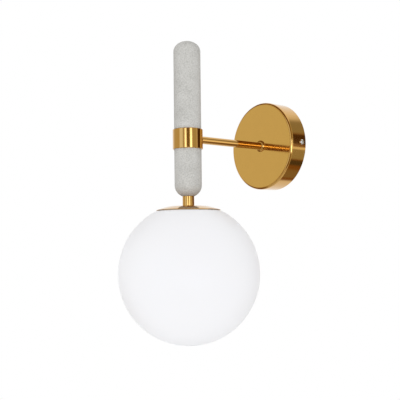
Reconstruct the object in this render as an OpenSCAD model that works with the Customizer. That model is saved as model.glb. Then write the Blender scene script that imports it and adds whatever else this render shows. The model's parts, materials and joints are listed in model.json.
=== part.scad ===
// Wall sconce: a round brass wall plate, a brass arm, a stone column held in a brass
// collar, and an opal glass globe that screws on under a shallow brass cap.
// Origin: centre of the wall plate's back, on the wall. +Z is up, +Y goes into the wall.
// The arm's axis is at z = 0 and the column stands at y = -reach.

/* [Wall plate] */
// Outside diameter of the wall plate
plate_d = 122; // [116:1:140]
// Depth of the wall plate, from the wall to its front face
plate_depth = 27; // [26:1:34]
// Thickness of the spun brass
plate_wall = 1.2; // [0.8:0.1:2]
// Outside radius of the plate's front edge
plate_edge_r = 2; // [1:0.5:4]
// Distance of the side screws from the wall
side_screw_y = 7.5; // [6.5:0.5:9]

/* [Bracket] */
// Thickness of the bracket's steel
bracket_t = 1.5; // [1.2:0.1:2]
// Width of the strap and of its ears
bracket_w = 18; // [16:1:22]
// Depth of the ears, from the wall
ear_depth = 14; // [12:1:18]
// Distance between the centres of the two wall slots
slot_spacing = 88.9; // [86:0.1:92]
// Length of a slot from end to end
slot_len = 14; // [10:1:16]
// Width of a slot
slot_w = 4.6; // [4:0.2:5.4]
// Distance of the earth screw from the strap's middle
earth_x = 28; // [22:1:30]

/* [Arm] */
// Outside diameter of the arm's tube
arm_d = 10; // [9:0.5:12]
// Wall of the arm's tube
arm_wall = 1.1; // [0.8:0.1:1.4]
// Distance from the wall to the column's axis
reach = 154; // [120:1:220]
// Diameter of the round foot of the arm
flange_d = 16; // [14:1:24]
// Thickness of the foot
flange_t = 3; // [2:0.5:6]
// Length of tube that stands into the wall plate, behind its front
arm_tail = 14; // [12:0.5:16]

/* [Column] */
// Diameter of the stone
stone_d = 35; // [30:1:42]
// Height of the upper stone's tip above the arm's axis
stone_top = 127.1; // [90:0.1:180]
// Height of the upper stone's round end
top_dome_h = 13.4; // [8:0.1:17]
// Depth of the lower stone's foot below the arm's axis
stone_foot = 74.2; // [50:0.1:110]
// Height of the lower stone's round end, as if it ran to a point
foot_dome_h = 15.6; // [10:0.1:17]
// Depth of the rod's hole in the upper stone
stud_depth = 45; // [30:1:60]
// Thickness of the soft pads at the stones' hidden ends
pad_t = 0.8; // [0.5:0.1:1.5]

/* [Collar] */
// Height of the collar
collar_h = 25.6; // [23:0.1:36]
// Thickness of the collar's ring
collar_wall = 1.75; // [1.2:0.05:3]
// Height of the arm's axis above the collar's middle
arm_above_middle = 1.3; // [0:0.1:2]
// Thickness of the web across the collar
web_t = 16.5; // [15:0.5:19]

/* [Neck and cap] */
// Diameter of the neck
neck_d = 15.2; // [14:0.2:18]
// Length of the neck
neck_len = 13.2; // [8:0.1:30]
// Diameter of the cap
cap_d = 83; // [82:1:96]
// Diameter of the cap's flat top
cap_flat_d = 52; // [40:1:60]
// Height of the cap
cap_h = 5.2; // [4.6:0.1:8]
// Radius of the curve between the cap's flat top and its rim
cap_crown_r = 120; // [60:1:300]
// Height of the straight lip at the cap's rim
cap_lip = 0.6; // [0.4:0.1:1.2]
// Thickness of the cap's brass
cap_wall = 0.8; // [0.6:0.1:1]

/* [Globe] */
// Diameter of the globe
globe_d = 180; // [160:1:240]
// Thickness of the glass
glass_t = 3; // [2.5:0.1:4]
// Inside diameter of the globe's mouth
mouth_d = 73; // [68:1:74]
// Depth of the folded neck below the globe's lip
glass_neck = 10.5; // [8:0.5:14]
// Wall of the globe's folded neck
glass_neck_wall = 2.8; // [2:0.1:3.4]
// Thickness of the glass holder's ring
holder_wall = 1.8; // [1.2:0.1:3]
// Thickness of the glass holder's flat top
holder_top_t = 1.6; // [1:0.1:2.4]

/* [Rod and nuts] */
// Outside diameter of the threaded rod
rod_d = 10; // [9:0.5:11]
// Bore of the threaded rod
rod_bore = 7; // [6.4:0.1:7.6]
// Width of the nuts across their flats
nut_af = 14; // [13:0.5:15]
// Height of the nuts
nut_h = 4.5; // [3.5:0.5:5]
// Diameter of the washers
washer_d = 18; // [17:0.5:19]
// Thickness of the washers
washer_t = 1.2; // [0.8:0.1:1.6]

/* [Lampholder] */
// Diameter of the steel cup
cup_d = 34; // [34:1:40]
// Wall of the steel cup
cup_wall = 1; // [0.6:0.1:1.2]
// Height of the steel cup
cup_h = 14; // [13:0.5:18]
// Diameter of the porcelain body
holder_d = 40; // [40:1:48]
// Gap between the porcelain's rim and the bulb's housing
rim_gap = 0.8; // [0.4:0.1:2]
// How far the screw shell's edge lies inside the porcelain's rim
shell_recess = 2.5; // [1:0.5:5]
// Inside diameter of the screw shell
shell_bore = 26.3; // [25:0.1:27.5]
// Thickness of the screw shell's metal
shell_t = 0.5; // [0.3:0.1:0.8]
// Diameter of the leads over their covering
lead_d = 1.8; // [1.4:0.1:2]

/* [Bulb] */
// Length of the bulb's metal base
bulb_base_len = 20; // [18:0.5:22]
// Largest diameter of the bulb
bulb_d = 60; // [50:1:64]
// Length of the bulb's housing, from the base to the dome
bulb_housing_len = 29; // [24:0.5:40]
// Diameter of the housing where it meets the dome
bulb_seam_d = 52; // [40:1:56]

/* [Hidden] */
$fn = 96;

// Named clearances
fit = 0.05;          // a screwed or pushed fit, where threads are left out
seat = 0.05;         // faces of parts that move apart and rest on each other
slack = 0.3;         // a loose hole round something that passes through
stone_gap = 0.25;    // stone inside the collar's ring
over = 1;            // how far a cutter runs past the face that it cuts

// Wall plate
plate_r = plate_d / 2;
plate_in_r = plate_r - plate_wall;
plate_in_edge_r = max(0.3, plate_edge_r - plate_wall);
plate_front_in = plate_depth - plate_wall;

// Screws through the plate's rim: M4 with a round head
m4_r = 2;
head_r = 3.5;
head_h = 2.2;
side_screw_len = 8;

// Bracket
ear_x = sqrt(pow(plate_in_r, 2) - pow(bracket_w / 2, 2)) - slack;
earth_head_h = 2.4;
earth_head_r = 3.5;
earth_washer_r = 4.6;
lug_t = 0.8;
lug_r = 4.2;
lug_barrel_r = 1.5;
lug_barrel_len = 5;

// Terminal strip, with its ways side by side along X and its wires along Z
ways = 3;
way_pitch = 8;
strip_x = 9;
strip_w = 17;
strip_base_h = 9;
strip_h = 12.5;
turret_r = 3.3;
sleeve_r = 2.2;
sleeve_wall = 0.55;
sleeve_y = 5.2;
sleeve_len = 15;
clamp_z = 4.6;
clamp_r = 1.5;
clamp_head_r = 2;
clamp_len = 5.2;
block_screw_r = 1.4;
block_screw_head_r = 2.2;
block_screw_head_h = 1.6;
block_screw_x = strip_x + way_pitch;
way_x = [for (i = [0:ways - 1]) strip_x + way_pitch * (i + 0.5)];
wire_y = -bracket_t - sleeve_y;

// Arm
arm_r = arm_d / 2;
arm_bore_r = arm_r - arm_wall;
arm_tail_y = -(plate_depth - arm_tail);
arm_in_collar = 9;
bush_t = 1;
bush_len = 6;
bush_wall = 0.8;

// Column
stone_r = stone_d / 2;
collar_in_r = stone_r + stone_gap;
collar_r = collar_in_r + collar_wall;
collar_mid = -arm_above_middle;
collar_top = collar_mid + collar_h / 2;
collar_bottom = collar_mid - collar_h / 2;
collar_edge = 0.5;
web_top = web_t / 2;
web_bottom = -web_t / 2;
stone_lip = 0.8;

// Rod
rod_r = rod_d / 2;
rod_bore_r = rod_bore / 2;
rod_hole_r = rod_r + slack;
side_hole_r = 2.7;
washer_r = washer_d / 2;
nut_r = nut_af / 2 / cos(30);
nut_chamfer = 0.5;
pocket_r = washer_r + 0.6;
pocket_top = web_top + washer_t + nut_h + 1.5;
upper_foot = web_top + pad_t;
lower_head = web_bottom - pad_t;

// Neck and cap, from the stone's foot down
neck_r = neck_d / 2;
neck_top = -stone_foot;
cap_top = neck_top - neck_len;
cap_r = cap_d / 2;
cap_flat_r = cap_flat_d / 2;
rim_z = cap_top - cap_h;
crown_drop = cap_h - cap_lip;
crown_chord = norm([cap_r - cap_flat_r, crown_drop]);
crown_rise = sqrt(pow(cap_crown_r, 2) - pow(crown_chord / 2, 2));
crown_x = (cap_flat_r + cap_r) / 2 - crown_drop / crown_chord * crown_rise;
crown_z = -crown_drop / 2 - (cap_r - cap_flat_r) / crown_chord * crown_rise;
function crown(r, depth) = cap_top + crown_z + sqrt(pow(cap_crown_r - depth, 2) - pow(r - crown_x, 2));

// Globe: its lip lies just under the cap's rim
lip_gap = 0.8;
globe_r = globe_d / 2;
lip_z = rim_z - lip_gap;
lip_r = cap_r + 0.5;
globe_z = lip_z - sqrt(pow(globe_r, 2) - pow(lip_r, 2));
mouth_r = mouth_d / 2;
thread_gap = 0.5;
glass_holder_r = mouth_r - thread_gap;
glass_holder_foot = lip_z - glass_neck + 1;
holder_flat_r = cap_flat_r - 1;
holder_shoulder_z = crown(glass_holder_r, cap_wall) - slack;
gasket_in_r = mouth_r + 0.4;
gasket_out_r = cap_r - 1;

// Stack under the cap
under_cap = cap_top - cap_wall;
under_holder = under_cap - holder_top_t;
cap_washer_foot = under_holder - washer_t;
cap_nut_foot = cap_washer_foot - nut_h;
cup_gap = 1.2;
cup_top = cap_nut_foot - cup_gap;
cup_r = cup_d / 2;
cup_in_r = cup_r - cup_wall;
boss_r = 8;
boss_len = 3.5;
rod_foot = cup_top - cup_wall - boss_len + 0.5;
rod_head = upper_foot + stud_depth - 3;

// Porcelain body: a spigot inside the cup, a shoulder under it, a deep socket below
shoulder_z = cup_top - cup_h;
spigot_r = cup_in_r - 0.4;
spigot_h = 3;
spigot_top = shoulder_z + spigot_h;
floor_t = 8;
socket_top = spigot_top - floor_t;
shell_r = shell_bore / 2 + shell_t;
socket_r = shell_r + 0.4;
flange_in_r = 10.2;
holder_r = holder_d / 2;

// Terminal screws of the lampholder, beside the leads
lead_r = lead_d / 2;
lead_x = lead_r + 0.3;
lead_floor_z = spigot_top + lead_r + fit;
term_shank_r = 1.6;
term_head_r = 3.2;
term_head_h = 2;
term_y = term_shank_r + lead_r + fit;
term_live_x = -7.6;
term_neutral_x = 10.8;
term_head_z = lead_floor_z + lead_r + fit;

// Sprung centre contact
strip_t = 0.5;
contact_drop = 2.8;
contact_foot = socket_top - strip_t - contact_drop;

// Bulb, hanging with its tip just under the centre contact
tip_gap = 0.1;
tip_top = contact_foot - tip_gap;
tip_r = 4.6;
tip_h = 1.8;
insulator_h = 2.4;
insulator_top_r = 5.4;
base_r = shell_bore / 2 - 0.1;
base_t = 0.4;
base_shoulder_r = 9.6;
base_top = tip_top - tip_h - insulator_h;
base_foot = base_top - bulb_base_len;
body_foot = base_foot + rim_gap;
shell_foot = body_foot + shell_recess;
housing_top_r = base_r + 1.2;
seam_r = bulb_seam_d / 2;
seam_z = base_foot - bulb_housing_len;
housing_t = 1.4;
board_t = 1.6;
dome_r = bulb_d / 2;
dome_z = seam_z - sqrt(pow(dome_r, 2) - pow(seam_r, 2));
dome_t = 1.2;

// Colours, as the photograph shows them
satin_brass = "#C89B50";
polished_brass = "#C8974A";
pale_brass = "#D9BE93";
stone_grey = "#C6C5C1";
opal_white = "#F6F6F7";
steel_grey = "#A9ABAD";
chrome_grey = "#D5D6D8";
nylon_white = "#ECEBE6";
porcelain_white = "#F1EFEA";
silicone_grey = "#DADAD6";
live_brown = "#6B4427";
neutral_blue = "#2F63A8";
earth_green = "#5E9A3A";
black_glass = "#2A2A2C";

// Helpers

// Puts its children on the column's axis
module on_column() {
    translate([0, -reach, 0]) children();
}

// Turns what stands along +Z so that it lies along -Y, away from the wall
module off_wall() {
    rotate([90, 0, 0]) children();
}

// Upright ring from z0 up to z1
module ring(r_out, r_in, z0, z1) {
    translate([0, 0, z0]) difference() {
        cylinder(r = r_out, h = z1 - z0);
        translate([0, 0, -over]) cylinder(r = r_in, h = z1 - z0 + 2 * over);
    }
}

// Points of an arc about c, from angle a0 to a1
function arc(c, r, a0, a1, n) =
    [for (i = [0:n]) let (a = a0 + (a1 - a0) * i / n) c + r * [cos(a), sin(a)]];

// Hexagon nut with chamfered corners, from z0 up to z0 + nut_h
module nut(z0, bore_r) {
    translate([0, 0, z0]) difference() {
        intersection() {
            cylinder(r = nut_r, h = nut_h, $fn = 6);
            rotate_extrude() polygon([[0, 0], [nut_r - nut_chamfer, 0], [nut_r, nut_chamfer],
                                      [nut_r, nut_h - nut_chamfer],
                                      [nut_r - nut_chamfer, nut_h], [0, nut_h]]);
        }
        translate([0, 0, -over]) cylinder(r = bore_r, h = nut_h + 2 * over);
    }
}

// Slotted screw head with a round top, standing on z = 0
module round_head(r, h, slot) {
    difference() {
        intersection() {
            cylinder(r = r, h = h);
            translate([0, 0, h - r * 1.6]) sphere(r = r * 1.6);
        }
        translate([-r - over, -slot / 2, h * 0.6]) cube([2 * (r + over), slot, h]);
    }
}

// Slotted flat screw head standing on z = 0
module flat_head(r, h, slot) {
    difference() {
        cylinder(r = r, h = h);
        translate([-r - over, -slot / 2, h * 0.5]) cube([2 * (r + over), slot, h]);
    }
}

function unit(v) = v / norm(v);

// Round rod of radius r from a to b
module rod_between(a, b, r) {
    d = b - a;
    w = unit(d);
    side = abs(w.z) < 0.9 ? unit(cross([0, 0, 1], w)) : unit(cross([1, 0, 0], w));
    up = cross(w, side);
    multmatrix([[side.x, up.x, w.x, a.x], [side.y, up.y, w.y, a.y], [side.z, up.z, w.z, a.z],
                [0, 0, 0, 1]])
        cylinder(r = r, h = norm(d), $fn = 24);
}

// Round bend of radius bend_r at corner p, from direction d1 into direction d2
module corner(p, d1, d2, r, bend_r) {
    w = unit(cross(d1, d2));
    angle = acos(d1 * d2);
    set_back = bend_r * tan(angle / 2);
    start = p - d1 * set_back;
    side = cross(w, d1);
    centre = start + side * bend_r;
    u = -side;
    v = cross(w, u);
    multmatrix([[u.x, v.x, w.x, centre.x], [u.y, v.y, w.y, centre.y],
                [u.z, v.z, w.z, centre.z], [0, 0, 0, 1]])
        rotate_extrude(angle = angle) translate([bend_r, 0]) circle(r = r, $fn = 24);
}

// Lead along the corners of a path, with round bends
module lead(path, r, bend_r) {
    n = len(path);
    dirs = [for (i = [0:n - 2]) unit(path[i + 1] - path[i])];
    set_back = [for (i = [0:n - 1])
        i == 0 || i == n - 1 ? 0 : bend_r * tan(acos(dirs[i - 1] * dirs[i]) / 2)];
    for (i = [0:n - 2])
        rod_between(path[i] + dirs[i] * set_back[i], path[i + 1] - dirs[i] * set_back[i + 1], r);
    for (i = [1:n - 2])
        corner(path[i], dirs[i - 1], dirs[i], r, bend_r);
}

// Sub-parts on the wall

// Spun cup, open towards the wall, with the arm's hole and two holes for the side screws
module wall_plate() {
    outer = concat([[0, 0], [plate_r, 0]],
                   arc([plate_r - plate_edge_r, plate_depth - plate_edge_r], plate_edge_r, 0, 90, 8),
                   [[0, plate_depth]]);
    inner = concat([[0, -over], [plate_in_r, -over]],
                   arc([plate_in_r - plate_in_edge_r, plate_front_in - plate_in_edge_r],
                       plate_in_edge_r, 0, 90, 6),
                   [[0, plate_front_in]]);
    color(satin_brass) difference() {
        off_wall() rotate_extrude() polygon(outer);
        off_wall() rotate_extrude() polygon(inner);
        off_wall() cylinder(r = arm_r + fit, h = plate_depth + over);
        for (s = [-1, 1])
            translate([s * (plate_in_r - 3 * over), -side_screw_y, 0])
                rotate([0, s * 90, 0]) cylinder(r = m4_r + slack, h = plate_wall + 4 * over);
    }
}

// Steel strap on the wall, with a bent ear at each end
module wall_bracket() {
    color(steel_grey) difference() {
        union() {
            translate([-ear_x, -bracket_t, -bracket_w / 2])
                cube([2 * ear_x, bracket_t, bracket_w]);
            for (s = [-1, 1])
                translate([s > 0 ? ear_x - bracket_t : -ear_x, -ear_depth, -bracket_w / 2])
                    cube([bracket_t, ear_depth, bracket_w]);
        }
        for (s = [-1, 1]) {
            translate([s * slot_spacing / 2, 0, 0]) slot_cut();
            translate([s * (ear_x - bracket_t - over), -side_screw_y, 0])
                rotate([0, s * 90, 0]) cylinder(r = m4_r + fit, h = bracket_t + 2 * over);
        }
        translate([-earth_x, over, 0]) off_wall() cylinder(r = m4_r + fit, h = bracket_t + 2 * over);
        translate([block_screw_x, over, 0])
            off_wall() cylinder(r = block_screw_r + fit, h = bracket_t + 2 * over);
    }
}

// Cutter for one wall slot, centred on its place
module slot_cut() {
    half = (slot_len - slot_w) / 2;
    translate([0, over, 0]) off_wall() {
        for (s = [-1, 1])
            translate([s * half, 0, 0]) cylinder(r = slot_w / 2, h = bracket_t + 2 * over);
        translate([-half, -slot_w / 2, 0]) cube([2 * half, slot_w, bracket_t + 2 * over]);
    }
}

// Two chrome screws through the plate's rim into the ears
module plate_screws() {
    color(chrome_grey) for (s = [-1, 1])
        translate([s * plate_r, -side_screw_y, 0]) rotate([0, s * 90, 0]) {
            round_head(head_r, head_h, 0.9);
            translate([0, 0, -side_screw_len]) cylinder(r = m4_r, h = side_screw_len + head_h * 0.3);
        }
}

// Earth screw and its cup washer on the strap
module earth_screw() {
    washer_y = bracket_t + lug_t + fit;
    color(polished_brass) translate([-earth_x, 0, 0]) off_wall() {
        translate([0, 0, 0.1]) cylinder(r = m4_r, h = washer_y + 1);
        translate([0, 0, washer_y]) cylinder(r = earth_washer_r, h = 0.8);
        translate([0, 0, washer_y + 0.8]) flat_head(earth_head_r, earth_head_h, 0.9);
    }
}

// Ring lug under the earth screw, with the barrel that holds the lead
module earth_lug() {
    barrel_z = earth_washer_r + 1.4;
    color(chrome_grey) translate([-earth_x, 0, 0]) difference() {
        union() {
            translate([0, -bracket_t, 0]) off_wall() cylinder(r = lug_r, h = lug_t);
            translate([-1.6, -bracket_t - lug_t, 0]) cube([3.2, lug_t, barrel_z + lug_barrel_len]);
            translate([0, wire_y, barrel_z]) cylinder(r = lug_barrel_r, h = lug_barrel_len);
            translate([-0.8, wire_y, barrel_z]) cube([1.6, -wire_y - bracket_t, lug_barrel_len]);
        }
        translate([0, over, 0]) off_wall() cylinder(r = m4_r + fit, h = bracket_t + lug_t + 2 * over);
        translate([0, wire_y, barrel_z + 1])
            cylinder(r = lead_r + fit, h = lug_barrel_len + over);
    }
}

// Nylon strip with a turret over each clamping screw
module terminal_block() {
    color(nylon_white) difference() {
        union() {
            translate([strip_x, -bracket_t - strip_base_h, -strip_w / 2])
                cube([ways * way_pitch, strip_base_h, strip_w]);
            for (x = way_x, s = [-1, 1])
                translate([x, -bracket_t - strip_base_h + over, s * clamp_z])
                    off_wall() cylinder(r = turret_r, h = strip_h - strip_base_h + over);
        }
        for (x = way_x) {
            translate([x, wire_y, -strip_w / 2 - over])
                cylinder(r = sleeve_r + fit, h = strip_w + 2 * over);
            for (s = [-1, 1])
                translate([x, wire_y, s * clamp_z])
                    off_wall() cylinder(r = clamp_head_r + fit, h = strip_h);
        }
        translate([block_screw_x, over, 0])
            off_wall() cylinder(r = block_screw_r + fit, h = strip_h + 2 * over);
        translate([block_screw_x, -bracket_t - strip_base_h + block_screw_head_h, 0])
            off_wall() cylinder(r = block_screw_head_r + fit, h = strip_h);
    }
}

// Brass tubes that join the leads to the house wires
module terminal_sleeves() {
    color(polished_brass) for (x = way_x) translate([x, wire_y, 0]) difference() {
        translate([0, 0, -sleeve_len / 2]) cylinder(r = sleeve_r, h = sleeve_len);
        translate([0, 0, -sleeve_len / 2 - over])
            cylinder(r = sleeve_r - sleeve_wall, h = sleeve_len + 2 * over);
        for (s = [-1, 1])
            translate([0, 0, s * clamp_z]) off_wall() cylinder(r = clamp_r + fit, h = sleeve_r + over);
    }
}

// Six clamping screws, each pressing on what lies in its tube
module terminal_screws() {
    color(steel_grey) for (x = way_x, s = [-1, 1])
        translate([x, wire_y - lead_r - fit, s * clamp_z]) off_wall() {
            cylinder(r = clamp_r, h = clamp_len);
            translate([0, 0, clamp_len]) flat_head(clamp_head_r, 1.2, 0.5);
        }
}

// Screw through the strip into the strap
module block_screw() {
    top = strip_base_h - block_screw_head_h;
    color(steel_grey) translate([block_screw_x, 0, 0]) off_wall() {
        translate([0, 0, 0.1]) cylinder(r = block_screw_r, h = bracket_t + top);
        translate([0, 0, bracket_t + top]) flat_head(block_screw_head_r, block_screw_head_h, 0.6);
    }
}

// Leads

lead_bend = 3;
run_low = 15;
run_high = 20;
run_earth = 26;
lead_start_z = 1;

// Path from a way of the strip, over the arm's end, through the arm and down the rod
function supply_path(x_way, x_arm, run_z, x_end) = [
    [x_way, wire_y, lead_start_z],
    [x_way, wire_y, run_z],
    [x_arm, wire_y, run_z],
    [x_arm, wire_y, 0],
    [x_arm, -reach, 0],
    [x_arm, -reach, lead_floor_z],
    [x_end, -reach, lead_floor_z]];

module live_lead() {
    color(live_brown)
        lead(supply_path(way_x[1], -lead_x, run_high, term_live_x - 2), lead_r, lead_bend);
}

module neutral_lead() {
    color(neutral_blue)
        lead(supply_path(way_x[0], lead_x, run_low, term_neutral_x + 2), lead_r, lead_bend);
}

module earth_lead() {
    color(earth_green) lead([
        [way_x[2], wire_y, lead_start_z],
        [way_x[2], wire_y, run_earth],
        [-earth_x, wire_y, run_earth],
        [-earth_x, wire_y, earth_washer_r + 1.4 + 1.5]], lead_r, lead_bend);
}

// Arm

module arm_tube() {
    start = -arm_tail_y;
    finish = reach - arm_in_collar;
    color(satin_brass) off_wall() ring(arm_r, arm_bore_r, start, finish);
}

// Turned foot with a rounded edge
module arm_flange() {
    r = flange_d / 2;
    edge = min(1, flange_t / 2);
    color(satin_brass) off_wall() rotate_extrude() polygon(concat(
        [[arm_r + fit, plate_depth], [r, plate_depth]],
        arc([r - edge, plate_depth + flange_t - edge], edge, 0, 90, 6),
        [[arm_r + fit, plate_depth + flange_t]]));
}

module arm_washer() {
    color(steel_grey)
        off_wall() ring(washer_r, arm_r + fit, plate_front_in - washer_t, plate_front_in);
}

module arm_nut() {
    color(steel_grey) off_wall() nut(plate_front_in - washer_t - nut_h, arm_r + fit);
}

// Plastic bush in the arm's open end
module wire_bush() {
    sleeve = arm_bore_r - fit;
    color(nylon_white) off_wall() {
        ring(arm_r, sleeve - bush_wall, -arm_tail_y - bush_t, -arm_tail_y);
        ring(sleeve, sleeve - bush_wall, -arm_tail_y - bush_t, -arm_tail_y + bush_len);
    }
}

// Column

// Ring with a web across it; the rod passes down through the web and the arm ends in it
module collar() {
    color(polished_brass) on_column() difference() {
        rotate_extrude() polygon([
            [0, web_bottom], [collar_in_r, web_bottom], [collar_in_r, collar_bottom],
            [collar_r - collar_edge, collar_bottom], [collar_r, collar_bottom + collar_edge],
            [collar_r, collar_top - collar_edge], [collar_r - collar_edge, collar_top],
            [collar_in_r, collar_top], [collar_in_r, web_top], [0, web_top]]);
        translate([0, 0, web_bottom - over]) cylinder(r = rod_r + fit, h = web_t + 2 * over);
        rotate([-90, 0, 0]) cylinder(r = arm_r + fit, h = collar_r + over);
    }
}

module stone_pads() {
    color(silicone_grey) on_column() {
        ring(stone_r - 0.5, pocket_r, web_top, web_top + pad_t);
        ring(stone_r - 0.5, rod_hole_r + 1, web_bottom - pad_t, web_bottom);
    }
}

// Quarter of an ellipse from the stone's side to its tip, going up for s = 1
function dome(z, h, s, end_a) =
    [for (a = [0:3:end_a]) [stone_r * cos(a), z + s * h * sin(a)]];

module upper_stone() {
    dome_z0 = stone_top - top_dome_h;
    color(stone_grey) on_column() difference() {
        rotate_extrude() polygon(concat(
            [[0, upper_foot], [stone_r - stone_lip, upper_foot], [stone_r, upper_foot + stone_lip]],
            dome(dome_z0, top_dome_h, 1, 87), [[0, stone_top]]));
        translate([0, 0, upper_foot - over]) cylinder(r = rod_hole_r, h = stud_depth + over);
        translate([0, 0, upper_foot - over])
            cylinder(r = pocket_r, h = pocket_top - upper_foot + over);
    }
}

// Its foot is ground flat where the neck meets it
module lower_stone() {
    foot_r = neck_r + 0.4;
    foot_a = acos(foot_r / stone_r);
    dome_z0 = -stone_foot + foot_dome_h * sin(foot_a);
    color(stone_grey) on_column() difference() {
        rotate_extrude() polygon(concat(
            [[0, lower_head], [stone_r - stone_lip, lower_head], [stone_r, lower_head - stone_lip]],
            dome(dome_z0, foot_dome_h, -1, foot_a - 0.5),
            [[foot_r, -stone_foot], [0, -stone_foot]]));
        translate([0, 0, -stone_foot - over])
            cylinder(r = rod_hole_r, h = stone_foot + lower_head + 2 * over);
    }
}

// Hollow rod with a hole in its side where the leads come in from the arm
module centre_rod() {
    color(steel_grey) on_column() difference() {
        ring(rod_r, rod_bore_r, rod_foot, rod_head);
        rotate([-90, 0, 0]) cylinder(r = side_hole_r, h = rod_r + over);
    }
}

module rod_washer() {
    color(steel_grey) on_column() ring(washer_r, rod_r + fit, web_top, web_top + washer_t);
}

module rod_nut() {
    color(steel_grey) on_column() nut(web_top + washer_t, rod_r + fit);
}

// Under the column

module neck() {
    edge = 0.4;
    color(polished_brass) on_column() rotate_extrude() polygon([
        [rod_r + fit, neck_top], [neck_r - edge, neck_top], [neck_r, neck_top - edge],
        [neck_r, cap_top + edge], [neck_r - edge, cap_top], [rod_r + fit, cap_top]]);
}

// Points of the cap's curve between two radii, at a depth below its outside
function crown_points(r0, r1, depth, n) =
    [for (i = [0:n]) let (r = r0 + (r1 - r0) * i / n) [r, crown(r, depth)]];

module cap() {
    hole = rod_r + fit;
    rim_in = cap_r - cap_wall;
    color(pale_brass) on_column() rotate_extrude() polygon(concat(
        [[hole, cap_top]],
        crown_points(cap_flat_r, cap_r, 0, 10),
        [[cap_r, rim_z], [rim_in, rim_z]],
        crown_points(rim_in, cap_flat_r - cap_wall / 4, cap_wall, 10),
        [[cap_flat_r - cap_wall / 4, under_cap], [hole, under_cap]]));
}

// Flat top on the rod, a slope under the cap's curve, and the ring that the globe screws on to
module glass_holder() {
    hole = rod_r + fit;
    wall_in = glass_holder_r - holder_wall;
    slope_z = holder_shoulder_z - holder_top_t;
    color("silver") on_column() rotate_extrude() polygon([
        [hole, under_cap], [holder_flat_r, under_cap], [glass_holder_r, holder_shoulder_z],
        [glass_holder_r, glass_holder_foot], [wall_in, glass_holder_foot], [wall_in, slope_z],
        [holder_flat_r - 1, under_holder], [hole, under_holder]]);
}

module cap_washer() {
    color(steel_grey) on_column() ring(washer_r, rod_r + fit, cap_washer_foot, under_holder);
}

module cap_nut() {
    color(steel_grey) on_column() nut(cap_nut_foot, rod_r + fit);
}

// Wedge of silicone between the cap's underside and the globe's lip
module gasket() {
    color(silicone_grey) on_column() rotate_extrude() polygon(concat(
        [[gasket_in_r, lip_z + seat], [gasket_out_r, lip_z + seat]],
        [for (i = [0:4]) let (r = gasket_out_r + (gasket_in_r - gasket_out_r) * i / 4)
            [r, crown(r, cap_wall) - seat]]));
}

// Sphere cut off at the lip, with its mouth folded down into a neck
module globe() {
    inner_r = globe_r - glass_t;
    neck_out_r = mouth_r + glass_neck_wall;
    color(opal_white) on_column() difference() {
        union() {
            difference() {
                translate([0, 0, globe_z]) sphere(r = globe_r);
                translate([0, 0, globe_z]) sphere(r = inner_r);
            }
            intersection() {
                translate([0, 0, globe_z]) sphere(r = inner_r + glass_t / 2);
                translate([0, 0, lip_z - glass_neck]) cylinder(r = neck_out_r, h = glass_neck);
            }
        }
        translate([0, 0, lip_z]) cylinder(r = globe_r, h = globe_r);
        translate([0, 0, lip_z - glass_neck - over])
            cylinder(r = mouth_r, h = glass_neck + 2 * over);
    }
}

// Lampholder

// Steel cup that screws on to the rod, with a boss inside its top
module holder_cup() {
    color(steel_grey) on_column() difference() {
        translate([0, 0, shoulder_z]) cylinder(r = cup_r, h = cup_h);
        difference() {
            translate([0, 0, shoulder_z - over]) cylinder(r = cup_in_r, h = cup_h - cup_wall + over);
            translate([0, 0, cup_top - cup_wall - boss_len]) cylinder(r = boss_r, h = cup_h);
        }
        translate([0, 0, shoulder_z]) cylinder(r = rod_r + fit, h = cup_h + over);
    }
}

module holder_body() {
    color(porcelain_white) on_column() difference() {
        union() {
            translate([0, 0, body_foot]) cylinder(r = holder_r, h = shoulder_z - body_foot);
            translate([0, 0, shoulder_z - over]) cylinder(r = spigot_r, h = spigot_h + over);
        }
        translate([0, 0, body_foot - over]) cylinder(r = socket_r, h = socket_top - body_foot + over);
        for (x = [term_live_x, term_neutral_x])
            translate([x, -term_y, socket_top - over])
                cylinder(r = term_shank_r + fit, h = floor_t + 2 * over);
    }
}

// Thin brass shell whose inner flange lies on the socket's floor
module screw_shell() {
    color(polished_brass) on_column() {
        ring(shell_r, shell_bore / 2, shell_foot, socket_top - shell_t / 2);
        ring(shell_r, flange_in_r, socket_top - shell_t, socket_top);
    }
}

module centre_contact() {
    left = term_live_x - 1.4;
    width = 6;
    color(polished_brass) on_column() {
        translate([left, -term_y - width / 4, socket_top - strip_t])
            cube([2.5 - left, width, strip_t]);
        translate([2, -term_y - width / 4, contact_foot])
            cube([strip_t, width, contact_drop + strip_t]);
        translate([-3.5, -term_y - width / 4, contact_foot]) cube([6, width, strip_t]);
    }
}

// Terminal screws, their heads over the leads' ends
module holder_screws() {
    color(polished_brass) on_column() for (x = [term_live_x, term_neutral_x])
        translate([x, -term_y, 0]) {
            translate([0, 0, socket_top]) cylinder(r = term_shank_r, h = term_head_z - socket_top + 1);
            translate([0, 0, term_head_z]) flat_head(term_head_r, term_head_h, 0.8);
        }
}

// Bulb

module bulb_contact() {
    color(chrome_grey) on_column() translate([0, 0, tip_top - tip_h])
        intersection() {
            cylinder(r = tip_r, h = tip_h);
            translate([0, 0, tip_h - 3 * tip_r]) sphere(r = 3 * tip_r);
        }
}

module bulb_insulator() {
    color(black_glass) on_column() translate([0, 0, base_top])
        cylinder(r1 = base_shoulder_r - fit, r2 = insulator_top_r, h = insulator_h - fit);
}

module bulb_base() {
    color(chrome_grey) on_column() rotate_extrude() polygon([
        [base_shoulder_r, base_top + 0.4], [base_r - 1.5, base_top], [base_r, base_top - 2],
        [base_r, base_foot], [base_r - base_t, base_foot], [base_r - base_t, base_top - 2],
        [base_r - 1.5 - base_t, base_top - 0.6], [base_shoulder_r, base_top - 0.4]]);
}

// Housing of the driver, flaring from the base to the dome
function flare(t) = housing_top_r + (seam_r - housing_top_r) * (1 - cos(180 * t)) / 2;

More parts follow.
